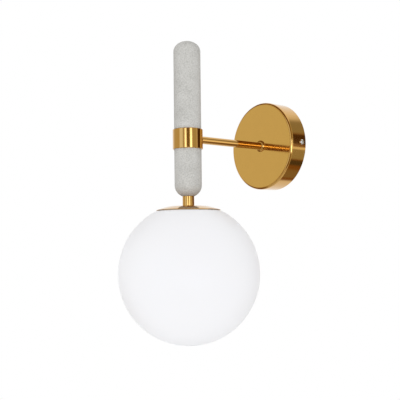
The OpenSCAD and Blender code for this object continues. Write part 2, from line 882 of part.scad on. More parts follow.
module bulb_housing() {
    n = 14;
    out = [for (i = [0:n]) [flare(i / n), base_foot - bulb_housing_len * i / n]];
    inn = [for (i = [n:-1:0]) [flare(i / n) - housing_t, base_foot - bulb_housing_len * i / n]];
    spigot = base_r - base_t - fit;
    color(porcelain_white) on_column() rotate_extrude() polygon(concat(
        [[spigot, base_foot + 6], [spigot, base_foot]], out, inn,
        [[spigot - 1, base_foot - 1], [spigot - 1, base_foot + 6]]));
}

// Aluminium board with the light sources, on a ledge in the housing's mouth
module bulb_board() {
    color("silver") on_column()
        translate([0, 0, seam_z])
            cylinder(r = flare(1 - board_t / bulb_housing_len) - housing_t - fit, h = board_t);
}

module bulb_dome() {
    color(opal_white) on_column() difference() {
        translate([0, 0, dome_z]) sphere(r = dome_r);
        translate([0, 0, dome_z]) sphere(r = dome_r - dome_t);
        translate([0, 0, seam_z]) cylinder(r = 2 * dome_r, h = 2 * dome_r);
    }
}

wall_bracket();
wall_plate();
plate_screws();
earth_screw();
earth_lug();
terminal_block();
terminal_sleeves();
terminal_screws();
block_screw();
live_lead();
neutral_lead();
earth_lead();
arm_tube();
arm_flange();
arm_washer();
arm_nut();
wire_bush();
collar();
stone_pads();
upper_stone();
lower_stone();
centre_rod();
rod_washer();
rod_nut();
neck();
cap();
glass_holder();
cap_washer();
cap_nut();
gasket();
globe();
holder_cup();
holder_body();
screw_shell();
centre_contact();
holder_screws();
bulb_contact();
bulb_insulator();
bulb_base();
bulb_board();
bulb_housing();
bulb_dome();
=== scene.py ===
"""Looks of the wall sconce: meshes, finishes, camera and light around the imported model."""
import json
import logging
import math
from contextlib import contextmanager
from dataclasses import dataclass
from enum import Enum
from typing import Iterable, Iterator, Sequence

import bmesh
import bpy
from mathutils import Matrix, Vector

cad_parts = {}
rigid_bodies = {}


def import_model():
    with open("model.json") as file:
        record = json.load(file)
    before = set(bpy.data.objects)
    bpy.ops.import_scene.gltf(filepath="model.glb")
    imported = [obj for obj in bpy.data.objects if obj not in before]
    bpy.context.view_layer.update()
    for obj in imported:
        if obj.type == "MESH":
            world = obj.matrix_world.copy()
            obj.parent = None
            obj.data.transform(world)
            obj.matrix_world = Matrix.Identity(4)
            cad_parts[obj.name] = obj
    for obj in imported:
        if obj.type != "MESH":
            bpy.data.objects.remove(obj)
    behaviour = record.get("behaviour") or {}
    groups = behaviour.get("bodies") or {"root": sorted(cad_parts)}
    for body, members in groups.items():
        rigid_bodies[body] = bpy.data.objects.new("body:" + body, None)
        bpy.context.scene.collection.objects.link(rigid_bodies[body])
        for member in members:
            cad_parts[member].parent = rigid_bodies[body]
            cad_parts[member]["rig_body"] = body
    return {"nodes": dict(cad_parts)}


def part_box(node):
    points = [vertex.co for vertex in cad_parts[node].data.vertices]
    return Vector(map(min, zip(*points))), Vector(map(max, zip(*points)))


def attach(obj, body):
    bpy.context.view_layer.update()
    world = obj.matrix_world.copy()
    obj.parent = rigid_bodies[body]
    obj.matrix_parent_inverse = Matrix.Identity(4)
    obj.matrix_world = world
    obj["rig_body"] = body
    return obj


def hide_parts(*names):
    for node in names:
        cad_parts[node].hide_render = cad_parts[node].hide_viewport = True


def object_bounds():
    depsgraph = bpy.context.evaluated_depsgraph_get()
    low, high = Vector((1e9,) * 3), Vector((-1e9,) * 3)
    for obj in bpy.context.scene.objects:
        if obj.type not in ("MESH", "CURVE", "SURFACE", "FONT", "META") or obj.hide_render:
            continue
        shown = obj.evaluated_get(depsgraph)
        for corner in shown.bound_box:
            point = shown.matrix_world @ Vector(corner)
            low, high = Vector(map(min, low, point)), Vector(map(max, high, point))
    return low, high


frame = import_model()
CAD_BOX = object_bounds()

LOG = logging.getLogger("wall_sconce")
SIDES = (-1, 1)

# A millimetre in metres, the distance within which points merge, and angles from which edges stay sharp
MM, WELD = 0.001, 1e-6
SOFT_ANGLE, CRISP_ANGLE, EASED_ANGLE = 38, 30, 15

# Outline of a section in millimetres, and places with their directions
Outline = list[tuple[float, float]]
Spots = Sequence[tuple[Vector, Vector]]

# Node types that come back often, and numbers of sockets that share a name
MATH, VECTOR, RANGE, MIX = "ShaderNodeMath", "ShaderNodeVectorMath", "ShaderNodeMapRange", "ShaderNodeMix"
NOISE, SPLIT, GATHER = "ShaderNodeTexNoise", "ShaderNodeSeparateXYZ", "ShaderNodeCombineXYZ"
BOOLEAN, GROUP = "GeometryNodeMeshBoolean", "GeometryNodeGroup"
VALUE_A, VALUE_B, COLOUR_A, COLOUR_B, COLOUR_OUT = 2, 3, 6, 7, 2
RANDOM_MAX, RANDOM_OUT = 3, 1
CUT = {"operation": "DIFFERENCE", "solver": "MANIFOLD"}


# Shared tools

def linear(hex_colour: str) -> tuple[float, float, float, float]:
    """Turns an sRGB hex colour into linear light, by sRGB's own formula.

    Args:
        hex_colour: Six hex digits with or without a leading hash.

    Returns:
        Linear red, green and blue, and an alpha of 1.
    """
    digits = hex_colour.lstrip("#")
    parts = [int(digits[i:i + 2], 16) / 255 for i in (0, 2, 4)]
    light = [p / 12.92 if p <= 0.04045 else ((p + 0.055) / 1.055) ** 2.4 for p in parts]
    return (light[0], light[1], light[2], 1.0)


def new_object(name: str, data: bpy.types.ID) -> bpy.types.Object:
    """Makes an object in the scene.

    Args:
        name: The object's name.
        data: Its mesh, lamp or camera.

    Returns:
        The new object.
    """
    made = bpy.data.objects.new(name, data)
    bpy.context.scene.collection.objects.link(made)
    return made


@contextmanager
def edited(mesh: bpy.types.Mesh) -> Iterator[bmesh.types.BMesh]:
    """Opens a mesh with its doubles merged, and writes it back at the end.

    Args:
        mesh: The mesh.

    Yields:
        The mesh as it is edited.
    """
    work = bmesh.new()
    work.from_mesh(mesh)
    bmesh.ops.remove_doubles(work, verts=work.verts, dist=WELD)
    yield work
    work.to_mesh(mesh)
    work.free()


class Nodes:
    """A node tree under construction."""

    def __init__(self, tree: bpy.types.NodeTree) -> None:
        """Takes up the tree."""
        self.tree = tree

    def fill(self, node: bpy.types.Node, inputs: dict) -> None:
        """Fills or links inputs of a node.

        Args:
            node: The node.
            inputs: Input name or number to a value, a socket, a node, or a list of them, where a node
                stands for its first output.
        """
        for key, value in inputs.items():
            for source in value if isinstance(value, list) else [value]:
                if isinstance(source, bpy.types.Node):
                    source = source.outputs[0]
                if isinstance(source, bpy.types.NodeSocket):
                    self.tree.links.new(source, node.inputs[key])
                else:
                    node.inputs[key].default_value = source

    def add(self, kind: str, inputs: dict | tuple = (), **settings) -> bpy.types.Node:
        """Adds a node, sets its options, and fills or links its inputs.

        Args:
            kind: The node's type name.
            inputs: What fill takes, or a tuple of such sources for the inputs from the first on.
            **settings: The node's own options.

        Returns:
            The new node.
        """
        node = self.tree.nodes.new(kind)
        for option, value in settings.items():
            setattr(node, option, value)
        self.fill(node, inputs if isinstance(inputs, dict) else dict(enumerate(inputs)))
        return node


@dataclass(frozen=True)
class Extent:
    """Box of a CAD node, in millimetres."""

    low: Vector
    high: Vector

    @classmethod
    def of(cls, node: str) -> "Extent":
        """Reads a node's box from the frame."""
        low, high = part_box(node)
        return cls(low / MM, high / MM)

    @property
    def radius(self) -> float:
        """Half of the width along X."""
        return (self.high.x - self.low.x) / 2

    @property
    def middle(self) -> Vector:
        """Centre of the box."""
        return (self.low + self.high) / 2

    def span(self, place: Matrix) -> tuple[float, float]:
        """Lower and upper end along the axis of a place, which is OFF_WALL or upright."""
        return (-self.high.y, -self.low.y) if place is OFF_WALL else (self.low.z, self.high.z)


COLUMN_Y = Extent.of("upper_stone").middle.y
ON_COLUMN = Matrix.Translation((0, COLUMN_Y * MM, 0))
UNDER_COLUMN = ON_COLUMN @ Matrix.Rotation(math.pi, 4, "X")
OFF_WALL = Matrix.Rotation(math.pi / 2, 4, "X")
AS_DRAWN = Matrix.Identity(4)
TO_WALL, FROM_WALL = Vector((0, 1, 0)), Vector((0, -1, 0))

# Gap between a piece and what it fits round or under
CLEAR = 0.05
ROD = Extent.of("centre_rod").radius
ROD_HOLE = ROD + CLEAR


def arc(centre: tuple[float, float], radius: float, start: float, end: float, steps: int) -> Outline:
    """Points of an arc in the plane of radius and height.

    Args:
        centre: Centre of the arc.
        radius: Radius of the arc.
        start: First angle in degrees.
        end: Last angle in degrees.
        steps: Number of chords.

    Returns:
        The arc's points, both ends included.
    """
    angles = [math.radians(start + (end - start) * i / steps) for i in range(steps + 1)]
    return [(centre[0] + radius * math.cos(a), centre[1] + radius * math.sin(a)) for a in angles]


def rounded(corners: Sequence[tuple[float, ...]], steps: int = 5) -> Outline:
    """Rounds the corners of a closed outline.

    Args:
        corners: Radius and height of each corner, and its rounding where it has one.
        steps: Number of chords in a rounding.

    Returns:
        The rounded outline.
    """
    straight, room = 1.56, 0.49
    outline: Outline = []
    for i, corner in enumerate(corners):
        here = Vector(corner[:2])
        size = corner[2] if len(corner) > 2 else 0.0
        back = Vector(corners[i - 1][:2]) - here
        ahead = Vector(corners[(i + 1) % len(corners)][:2]) - here
        half = back.angle(ahead, math.pi) / 2 if size else math.pi / 2
        if half > straight:
            outline.append((here.x, here.y))
            continue
        reach = min(size / math.tan(half), back.length * room, ahead.length * room)
        size = reach * math.tan(half)
        centre = here + (back.normalized() + ahead.normalized()).normalized() * size / math.sin(half)
        start = here + back.normalized() * reach - centre
        end = here + ahead.normalized() * reach - centre
        for k in range(steps + 1):
            spoke = centre + start.lerp(end, k / steps).normalized() * size
            outline.append((spoke.x, spoke.y))
    return outline


def braced(outline: Outline, margin: float = 0.12) -> Outline:
    """Adds a point near each end of a long straight run, which keeps flat faces flat in smooth shading.

    Args:
        outline: A closed outline.
        margin: Distance of the added points from the corners.

    Returns:
        The outline with the added points.
    """
    result: Outline = []
    for i, point in enumerate(outline):
        here, after = Vector(point), Vector(outline[(i + 1) % len(outline)])
        result.append(point)
        run = after - here
        if run.length > 6 * margin:
            step = run.normalized() * margin
            result += [tuple(here + step), tuple(after - step)]
    return result


def finish_mesh(piece: bpy.types.Object, place: Matrix, sharp: float = SOFT_ANGLE) -> bpy.types.Object:
    """Welds a mesh, points its faces outwards, puts its place into it and shades it.

    Args:
        piece: The object, with its mesh in metres about its own axis.
        place: From the piece's own axis to the shared frame.
        sharp: Angle in degrees from which an edge stays sharp.

    Returns:
        The same object.
    """
    mesh = piece.data
    mesh.transform(place)
    with edited(mesh) as work:
        bmesh.ops.dissolve_degenerate(work, edges=work.edges, dist=WELD / 10)
        bmesh.ops.recalc_face_normals(work, faces=work.faces)
    mesh.shade_smooth()
    mesh.set_sharp_from_angle(angle=math.radians(sharp))
    return piece


def new_piece(name: str, points: Iterable, edges: Iterable = (), faces: Iterable = ()) -> bpy.types.Object:
    """Makes an object in the scene from millimetre points.

    Args:
        name: The piece's name.
        points: Vertices in millimetres.
        edges: Pairs of vertex numbers.
        faces: Loops of vertex numbers.

    Returns:
        The new object.
    """
    mesh = bpy.data.meshes.new(name)
    mesh.from_pydata([Vector(p) * MM for p in points], list(edges), list(faces))
    return new_object(name, mesh)


def lathe(name: str, outline: Outline, segments: int = 96) -> bpy.types.Object:
    """Turns a closed outline about Z.

    Args:
        name: The piece's name.
        outline: Radius and height of the points, in millimetres.
        segments: Number of segments round the axis.

    Returns:
        The turned object, about its own axis.
    """
    rows = len(outline)
    turns = [math.tau * k / segments for k in range(segments)]
    points = [(r * math.cos(a), r * math.sin(a), z) for a in turns for r, z in outline]
    faces = []
    for k in range(segments):
        here, after = k * rows, (k + 1) % segments * rows
        for i in range(rows):
            j = (i + 1) % rows
            if outline[i][0] > WELD or outline[j][0] > WELD:
                faces.append((here + i, after + i, after + j, here + j))
    return new_piece(name, points, faces=faces)


def prism(name: str, outline: Outline, low: float, high: float) -> bpy.types.Object:
    """Pulls a closed outline up along Z.

    Args:
        name: The piece's name.
        outline: X and Y of the points, in millimetres.
        low: Lower end.
        high: Upper end.

    Returns:
        The new object.
    """
    count = len(outline)
    points = [(x, y, z) for z in (low, high) for x, y in outline]
    faces = [tuple(range(count)), tuple(range(count, 2 * count))]
    faces += [(i, (i + 1) % count, count + (i + 1) % count, count + i) for i in range(count)]
    return new_piece(name, points, faces=faces)


def bake(piece: bpy.types.Object, modifier: bpy.types.Modifier) -> bpy.types.Object:
    """Turns the result of a piece's only modifier into its plain mesh.

    Args:
        piece: The object.
        modifier: The modifier, which is removed.

    Returns:
        The same object.
    """
    graph = bpy.context.evaluated_depsgraph_get()
    shown = piece.evaluated_get(graph)
    mesh = bpy.data.meshes.new_from_object(shown, preserve_all_data_layers=True, depsgraph=graph)
    piece.modifiers.remove(modifier)
    piece.data = mesh
    return piece


def ease(piece: bpy.types.Object, width: float) -> bpy.types.Object:
    """Welds a piece, joins its flat faces and eases its edges, as a tool or a mould leaves them.

    Args:
        piece: The object.
        width: Width of an eased edge.

    Returns:
        The same object.
    """
    flat, corner = math.radians(1), math.radians(40)
    with edited(piece.data) as work:
        bmesh.ops.dissolve_limit(work, angle_limit=flat, verts=work.verts, edges=work.edges)
    modifier = piece.modifiers.new("eased", "BEVEL")
    modifier.width, modifier.segments = width * MM, 2
    modifier.limit_method, modifier.angle_limit = "ANGLE", corner
    return bake(piece, modifier)


# Geometry trees

class Tree(Nodes):
    """A geometry tree under construction, with a named input for each of its sizes."""

    def __init__(self, name: str, lengths: Sequence[str], numbers: Sequence[str] = (),
                 counts: Sequence[str] = ()) -> None:
        """Makes the tree's interface.

        Args:
            name: The tree's name.
            lengths: Names of its lengths.
            numbers: Names of its angles and shares.
            counts: Names of its whole numbers.
        """
        super().__init__(bpy.data.node_groups.new(name, "GeometryNodeTree"))
        self.lengths = lengths
        face = self.tree.interface
        face.new_socket("Geometry", in_out="OUTPUT", socket_type="NodeSocketGeometry")
        for kind, labels in (("Geometry", ["Geometry"]), ("Float", [*lengths, *numbers]), ("Int", counts),
                             ("Material", ["Material"])):
            for label in labels:
                face.new_socket(label, in_out="INPUT", socket_type="NodeSocket" + kind)
        self.given = self.add("NodeGroupInput").outputs

    def lift(self, shape: bpy.types.Node, z: bpy.types.Node | bpy.types.NodeSocket,
             x: bpy.types.Node | float = 0.0) -> bpy.types.Node:
        """Moves a shape along Z, and along X where that is given."""
        return self.add("GeometryNodeTransform", {"Geometry": shape, "Translation": self.add(
            GATHER, {"X": x, "Z": z})})

    def set_out(self, points: bpy.types.Node | bpy.types.NodeSocket, shape: bpy.types.Node,
                spin: bpy.types.NodeSocket | None = None) -> bpy.types.Node:
        """Puts a shape on each point, with its Z along the point's direction.

        Args:
            points: The points.
            shape: The shape.
            spin: Turn of each copy about its own Z, where it has one.

        Returns:
            The node with the copies.
        """
        way = self.add("GeometryNodeInputNamedAttribute", {"Name": "direction"}, data_type="FLOAT_VECTOR")
        aim = self.add("FunctionNodeAlignRotationToVector", {"Vector": way}, axis="Z")
        if spin is not None:
            turn = self.add("FunctionNodeAxisAngleToRotation", {"Axis": (0, 0, 1), "Angle": spin})
            aim = self.add("FunctionNodeRotateRotation", {"Rotation": aim, "Rotate By": turn},
                           rotation_space="LOCAL")
        return self.add("GeometryNodeInstanceOnPoints", {"Points": points, "Instance": shape,
                                                         "Rotation": aim})

    def close(self, shape: bpy.types.Node) -> "Tree":
        """Ends the tree with plain geometry in its material.

        Args:
            shape: The node whose first output is the finished shape.

        Returns:
            The finished tree.
        """
        real = self.add("GeometryNodeRealizeInstances", {"Geometry": shape})
        dressed = self.add("GeometryNodeSetMaterial", {"Geometry": real, "Material": self.given["Material"]})
        self.add("NodeGroupOutput", {"Geometry": dressed})
        return self

    def run(self, piece: bpy.types.Object, **sizes) -> bpy.types.Object:
        """Runs the tree on a piece and keeps the result as its plain mesh.

        Args:
            piece: The object that gets the tree for a moment.
            **sizes: Values for the inputs, lengths in millimetres, with _ for a space in their names.

        Returns:
            The same object with its new mesh and no modifier.
        """
        modifier = piece.modifiers.new(self.tree.name, "NODES")
        modifier.node_group = self.tree
        for item in self.tree.interface.items_tree:
            key = item.name.replace(" ", "_")
            if item.item_type == "SOCKET" and item.in_out == "INPUT" and key in sizes:
                value = sizes[key]
                modifier[item.identifier] = value * MM if item.name in self.lengths else value
        return bake(piece, modifier)


def bar_tree() -> Tree:
    """Bar with a flat foot, an eased edge, a straight side and an elliptic end.

    Returns:
        The tree; at an end angle under 90 degrees the round end is cut flat.
    """
    t = Tree("Round-ended bar", ("Radius", "Foot", "Shoulder", "Ease", "Dome"), ("End Angle",), ("Segments",))
    full, foot_z, shoulder, ease_size, dome_size = (t.given[name] for name in t.lengths)
    rows, marks = 51, (0.0, 0.06, 0.14, 0.5, 0.94, 1.0)
    grid = t.add("GeometryNodeMeshGrid", {"Size X": 1.0, "Size Y": 1.0, "Vertices X": t.given["Segments"],
                                          "Vertices Y": rows})
    spot = t.add(SPLIT, (t.add("GeometryNodeInputPosition"),))
    foot, eased, side, dome, flat = (t.add(RANGE, (spot.outputs["Y"], start - 0.5, end - 0.5))
                                     for start, end in zip(marks, marks[1:]))
    turn = t.add(MATH, (spot.outputs["X"], math.tau), operation="MULTIPLY")
    ease_turn = t.add(MATH, (eased, math.pi / 2), operation="MULTIPLY")
    dome_turn = t.add(MATH, (dome, t.given["End Angle"]), operation="MULTIPLY")
    angles = (ease_turn, dome_turn, turn)
    ease_sin, dome_sin, turn_sin = (t.add(MATH, (angle,), operation="SINE") for angle in angles)
    ease_cos, dome_cos, turn_cos = (t.add(MATH, (angle,), operation="COSINE") for angle in angles)
    # Radius: foot disc, eased edge, round end, and the flat that closes it
    inner = t.add(MATH, (full, ease_size), operation="SUBTRACT")
    ease_out = t.add(MATH, (ease_sin, ease_size), operation="MULTIPLY")
    reach = t.add(MATH, (foot, inner, ease_out), operation="MULTIPLY_ADD")
    drawn_in = t.add(MATH, (1.0, dome_cos), operation="SUBTRACT")
    taken = t.add(MATH, (drawn_in, full), operation="MULTIPLY")
    round_r = t.add(MATH, (reach, taken), operation="SUBTRACT")
    left = t.add(MATH, (1.0, flat), operation="SUBTRACT")
    radius = t.add(MATH, (round_r, left), operation="MULTIPLY")
    # Height: eased edge, side and round end
    rise = t.add(MATH, (1.0, ease_cos), operation="SUBTRACT")
    low = t.add(MATH, (rise, ease_size, foot_z), operation="MULTIPLY_ADD")
    run = t.add(MATH, (shoulder, foot_z), operation="SUBTRACT")
    run = t.add(MATH, (run, ease_size), operation="SUBTRACT")
    mid = t.add(MATH, (run, side, low), operation="MULTIPLY_ADD")
    height = t.add(MATH, (dome_sin, dome_size, mid), operation="MULTIPLY_ADD")
    x, y = (t.add(MATH, (share, radius), operation="MULTIPLY") for share in (turn_cos, turn_sin))
    shape = t.add("GeometryNodeSetPosition", {"Geometry": grid, "Position": t.add(GATHER, (x, y, height))})
    return t.close(t.add("GeometryNodeMergeByDistance", {"Geometry": shape, "Distance": WELD}))


def stone_tree(bar: Tree) -> Tree:
    """Round-ended stone with a bore and a wider pocket drilled from its foot.

    Args:
        bar: The tree that makes the bar.

    Returns:
        The tree.
    """
    holes = ("Bore", "Bore Depth", "Pocket", "Pocket Depth")
    t = Tree("Drilled stone", (*bar.lengths, *holes, "Overrun"), ("End Angle",), ("Segments",))
    cut = t.add(GROUP, {s: t.given[s] for s in (*bar.lengths, "End Angle", "Segments")}, node_tree=bar.tree)
    over = t.given["Overrun"]
    for width, depth in (holes[:2], holes[2:]):
        length = t.add(MATH, (t.given[depth], over), operation="ADD")
        bit = t.add("GeometryNodeMeshCylinder", {"Vertices": 64, "Radius": t.given[width], "Depth": length})
        half = t.add(MATH, (t.given[depth], over), operation="SUBTRACT")
        rise = t.add(MATH, (half, 0.5, t.given["Foot"]), operation="MULTIPLY_ADD")
        cut = t.add(BOOLEAN, {"Mesh 1": cut, "Mesh 2": t.lift(bit, rise)}, **CUT)
    return t.close(cut)


def thread_tree() -> Tree:
    """Winds a thread into the faces of a turned piece that lie between two radii.

    Returns:
        The tree; a depth under zero raises the thread, and Cut goes from rolled, 0, to cut, 1.
    """
    t = Tree("Thread", ("Pitch", "Depth", "Low", "High", "Lead", "Inner Radius", "Outer Radius"), ("Cut",))
    pitch, deep, low, high, lead, inner, outer = (t.given[name] for name in t.lengths)
    place = t.add("GeometryNodeInputPosition")
    x, y, z = t.add(SPLIT, (place,)).outputs
    across = t.add(VECTOR, (place, (1, 1, 0)), operation="MULTIPLY")
    radius = t.add(VECTOR, (across,), operation="LENGTH").outputs["Value"]
    spoke = t.add(VECTOR, (across,), operation="NORMALIZE")
    angle = t.add(MATH, (y, x), operation="ARCTAN2")
    turn = t.add(MATH, (angle, math.tau), operation="DIVIDE")
    climb = t.add(MATH, (z, pitch), operation="DIVIDE")
    phase = t.add(MATH, (t.add(MATH, (climb, turn), operation="SUBTRACT"),), operation="FRACT")
    vee = t.add(MATH, (t.add(MATH, (phase, 2.0, -1.0), operation="MULTIPLY_ADD"),), operation="ABSOLUTE")
    wave = t.add(MATH, (t.add(MATH, (phase, math.tau), operation="MULTIPLY"),), operation="COSINE")
    wave = t.add(MATH, (wave, 0.5, 0.5), operation="MULTIPLY_ADD")
    crest = t.add(MIX, {"Factor": t.given["Cut"], VALUE_A: wave, VALUE_B: vee})
    root = t.add(MATH, (1.0, crest), operation="SUBTRACT")
    low_in = t.add(MATH, (low, lead), operation="ADD")
    high_in = t.add(MATH, (high, lead), operation="SUBTRACT")
    fade = t.add(MATH, (t.add(RANGE, (z, low, low_in)), t.add(RANGE, (z, high, high_in))),
                 operation="MULTIPLY")
    depth = root
    for factor in (fade, deep, -1.0):
        depth = t.add(MATH, (depth, factor), operation="MULTIPLY")
    above = t.add(MATH, (radius, inner), operation="GREATER_THAN")
    below = t.add(MATH, (radius, outer), operation="LESS_THAN")
    return t.close(t.add("GeometryNodeSetPosition", {
        "Geometry": t.given["Geometry"], "Selection": t.add(MATH, (above, below), operation="MULTIPLY"),
        "Offset": t.add(VECTOR, {0: spoke, "Scale": depth}, operation="SCALE")}))


def screw_tree(bar: Tree, thread: Tree) -> Tree:
    """Slotted screws, one at each point, with its head along the point's direction.

    Args:
        bar: The tree that makes head and shank.
        thread: The tree that winds the shank's thread.

    Returns:
        The tree; each slot is turned at random from a fixed seed.
    """
    t = Tree("Slotted screws", ("Head Radius", "Head Height", "Head Dome", "Slot Width", "Slot Depth",
                                "Shank Radius", "Shank Length", "Pitch"), ("Turn",), ("Seed",))
    radius, height, dome, slot_width, slot_depth, shank_radius, length, pitch = (
        t.given[name] for name in t.lengths)
    neck = t.add(MATH, (height, dome), operation="SUBTRACT")
    blend, long_way = (t.add(MATH, (radius, share), operation="MULTIPLY") for share in (0.06, 3.0))
    deep = t.add(MATH, (slot_depth, 2.0), operation="MULTIPLY")
    head = t.add(GROUP, {"Radius": radius, "Foot": 0.0, "Shoulder": neck, "Ease": blend, "Dome": dome,
                         "End Angle": math.pi / 2, "Segments": 41}, node_tree=bar.tree)
    blade = t.add("GeometryNodeMeshCube", {"Size": t.add(GATHER, (long_way, slot_width, deep))})
    head = t.add(BOOLEAN, {"Mesh 1": head, "Mesh 2": t.lift(blade, height)}, **CUT)
    start = t.add(MATH, (length, -1.0), operation="MULTIPLY")
    mid = t.add(MATH, (start, 0.5), operation="MULTIPLY")
    rise = t.add(MATH, (pitch, 0.55), operation="MULTIPLY")
    tip, inner, outer = (t.add(MATH, (shank_radius, share), operation="MULTIPLY")
                         for share in (0.3, 0.9, 1.1))
    shank = t.add("GeometryNodeMeshCylinder", {"Vertices": 24, "Side Segments": 60, "Radius": shank_radius,
                                               "Depth": length})
    shank = t.add(GROUP, {"Geometry": t.lift(shank, mid), "Pitch": pitch, "Depth": rise, "Low": start,
                          "High": tip, "Lead": tip, "Inner Radius": inner, "Outer Radius": outer, "Cut": 1.0},
                  node_tree=thread.tree)
    whole = t.add("GeometryNodeJoinGeometry", {"Geometry": [head, shank]})
    spin = t.add("FunctionNodeRandomValue", {RANDOM_MAX: t.given["Turn"], "Seed": t.given["Seed"]},
                 data_type="FLOAT").outputs[RANDOM_OUT]
    return t.close(t.set_out(t.given["Geometry"], whole, spin))


def drill_tree() -> Tree:
    """Round or long holes, one from each loose point along its direction.

    Returns:
        The tree; the attribute "bore" is 1 on the points and 0 on the solid.
    """
    t = Tree("Drilled holes", ("Radius", "Length", "Stretch"))
    radius, length, stretch = (t.given[name] for name in t.lengths)
    mark = t.add("GeometryNodeInputNamedAttribute", {"Name": "bore"}, data_type="FLOAT")
    chosen = t.add(MATH, (mark, 0.5), operation="GREATER_THAN")
    parts = t.add("GeometryNodeSeparateGeometry", {"Geometry": t.given["Geometry"], "Selection": chosen})
    bit = t.add("GeometryNodeMeshCylinder", {"Vertices": 48, "Radius": radius, "Depth": length})
    rise = t.add(MATH, (length, 0.5), operation="MULTIPLY")
    ends = [t.lift(bit, rise, t.add(MATH, (stretch, side / 2), operation="MULTIPLY")) for side in SIDES]
    both = t.add("GeometryNodeJoinGeometry", {"Geometry": ends})
    holes = t.set_out(parts, t.add("GeometryNodeConvexHull", {"Geometry": both}))
    return t.close(t.add(BOOLEAN, {"Mesh 1": parts.outputs["Inverted"], "Mesh 2": holes}, **CUT))


def chip_tree(bar: Tree) -> Tree:
    """Square light sources with a domed face, one at each point.

    Args:
        bar: The tree that makes their bodies.

    Returns:
        The tree.
    """
    t = Tree("Light sources", ("Half Diagonal", "Height", "Dome"))
    radius, height, dome = (t.given[name] for name in t.lengths)
    edge = t.add(MATH, (dome, 0.5), operation="MULTIPLY")
    chip = t.add(GROUP, {"Radius": radius, "Foot": 0.0, "Shoulder": height, "Ease": edge, "Dome": dome,
                         "End Angle": math.pi / 2, "Segments": 5}, node_tree=bar.tree)
    return t.close(t.set_out(t.given["Geometry"], chip))


def lead_tree() -> Tree:
    """Covered wire along the corners of a path, with round bends.

    Returns:
        The tree; the attribute "around" runs from 0 to 1 round the covering.
    """
    t = Tree("Lead", ("Radius", "Bend"), (), ("Sides",))
    path = t.add("GeometryNodeMeshToCurve", {"Mesh": t.given["Geometry"]})
    path = t.add("GeometryNodeFilletCurve", {"Curve": path, "Count": 8, "Radius": t.given["Bend"],
                                             "Limit Radius": True}, mode="POLY")
    ring = t.add("GeometryNodeCurvePrimitiveCircle", {"Resolution": t.given["Sides"],
                                                      "Radius": t.given["Radius"]}, mode="RADIUS")
    share = t.add("GeometryNodeSplineParameter")
    ring = t.add("GeometryNodeStoreNamedAttribute", {"Geometry": ring, "Name": "around",
                                                     "Value": share.outputs["Factor"]}, domain="POINT")
    return t.close(t.add("GeometryNodeCurveToMesh", {"Curve": path, "Profile Curve": ring,
                                                     "Fill Caps": True}))


# Finishes

class Draft(Nodes):
    """A material under construction: its nodes, its main shader and the object's own coordinates."""

    def __init__(self, title: str) -> None:
        """Makes the material.

        Args:
            title: The material's name.
        """
        self.made = bpy.data.materials.new(title)
        self.made.use_nodes = True
        super().__init__(self.made.node_tree)
        self.shader = self.tree.nodes["Principled BSDF"]
        self.place = self.add("ShaderNodeTexCoord").outputs["Object"]

    def set(self, **inputs) -> None:
        """Fills or links inputs of the main shader, with _ for a space in their names."""
        self.fill(self.shader, {name.replace("_", " "): source for name, source in inputs.items()})

    def source(self, name: str) -> bpy.types.NodeSocket:
        """What feeds an input of the main shader so far."""
        return self.shader.inputs[name].links[0].from_socket

    def relief(self, size_mm: float, depth_mm: float, detail: float = 2.0, **more) -> bpy.types.Node:
        """Raises the surface by a noise.

        Args:
            size_mm: Size of its grains or lines.
            depth_mm: Height of the relief.
            detail: Detail of the noise.
            **more: Further inputs of the noise.

        Returns:
            The noise, for what goes with the relief.
        """
        noise = self.add(NOISE, {"Vector": self.place, "Scale": 1 / (size_mm * MM), "Detail": detail, **more})
        self.set(Normal=self.add("ShaderNodeBump", {"Strength": 1.0, "Distance": depth_mm * MM,
                                                    "Height": noise}))
        return noise


class Lay(Enum):
    """Direction of the fine lines that a tool leaves in a surface."""

    ROUND_COLUMN = "turned about the column's axis"
    ROUND_ARM = "turned about the arm's axis"
    ALONG_ARM = "drawn along the arm"
    ALL_WAYS = "tumbled, with no direction"


@dataclass(frozen=True)
class Finish:
    """A finish of the object, with its name and the record's slot that it belongs to."""

    title: str
    slot: str
    colour: str
    roughness: float

    def material(self) -> bpy.types.Material:
        """Builds the material the first time it is asked for.

        Returns:
            The material.
        """
        made = bpy.data.materials.get(self.title)
        if made is None:
            draft = Draft(self.title)
            made = draft.made
            made.diffuse_color = linear(self.colour)
            draft.set(Base_Color=linear(self.colour), Roughness=self.roughness)
            self.draw(draft)
        return made

    def draw(self, draft: Draft) -> None:
        """Adds the finish's own pattern to the draft."""

    def drift(self, draft: Draft, patch_mm: float, tone: float, gloss: float) -> None:
        """Lets colour and gloss drift slowly over the surface.

        Args:
            draft: The material under construction.
            patch_mm: Size of the patches.
            tone: Share by which the darkest patch is darker.
            gloss: Share by which roughness goes up and down.
        """
        patches = draft.add(NOISE, {"Vector": draft.place, "Scale": 1 / (patch_mm * MM), "Detail": 4.0})
        light = linear(self.colour)
        dark = (*(c * (1 - tone) for c in light[:3]), 1.0)
        mixed = draft.add(MIX, {"Factor": patches, COLOUR_A: dark, COLOUR_B: light}, data_type="RGBA")
        low, high = self.roughness * (1 - gloss), self.roughness * (1 + gloss)
        draft.set(Base_Color=mixed.outputs[COLOUR_OUT],
                  Roughness=draft.add(RANGE, (patches, 0.3, 0.7, low, high)))


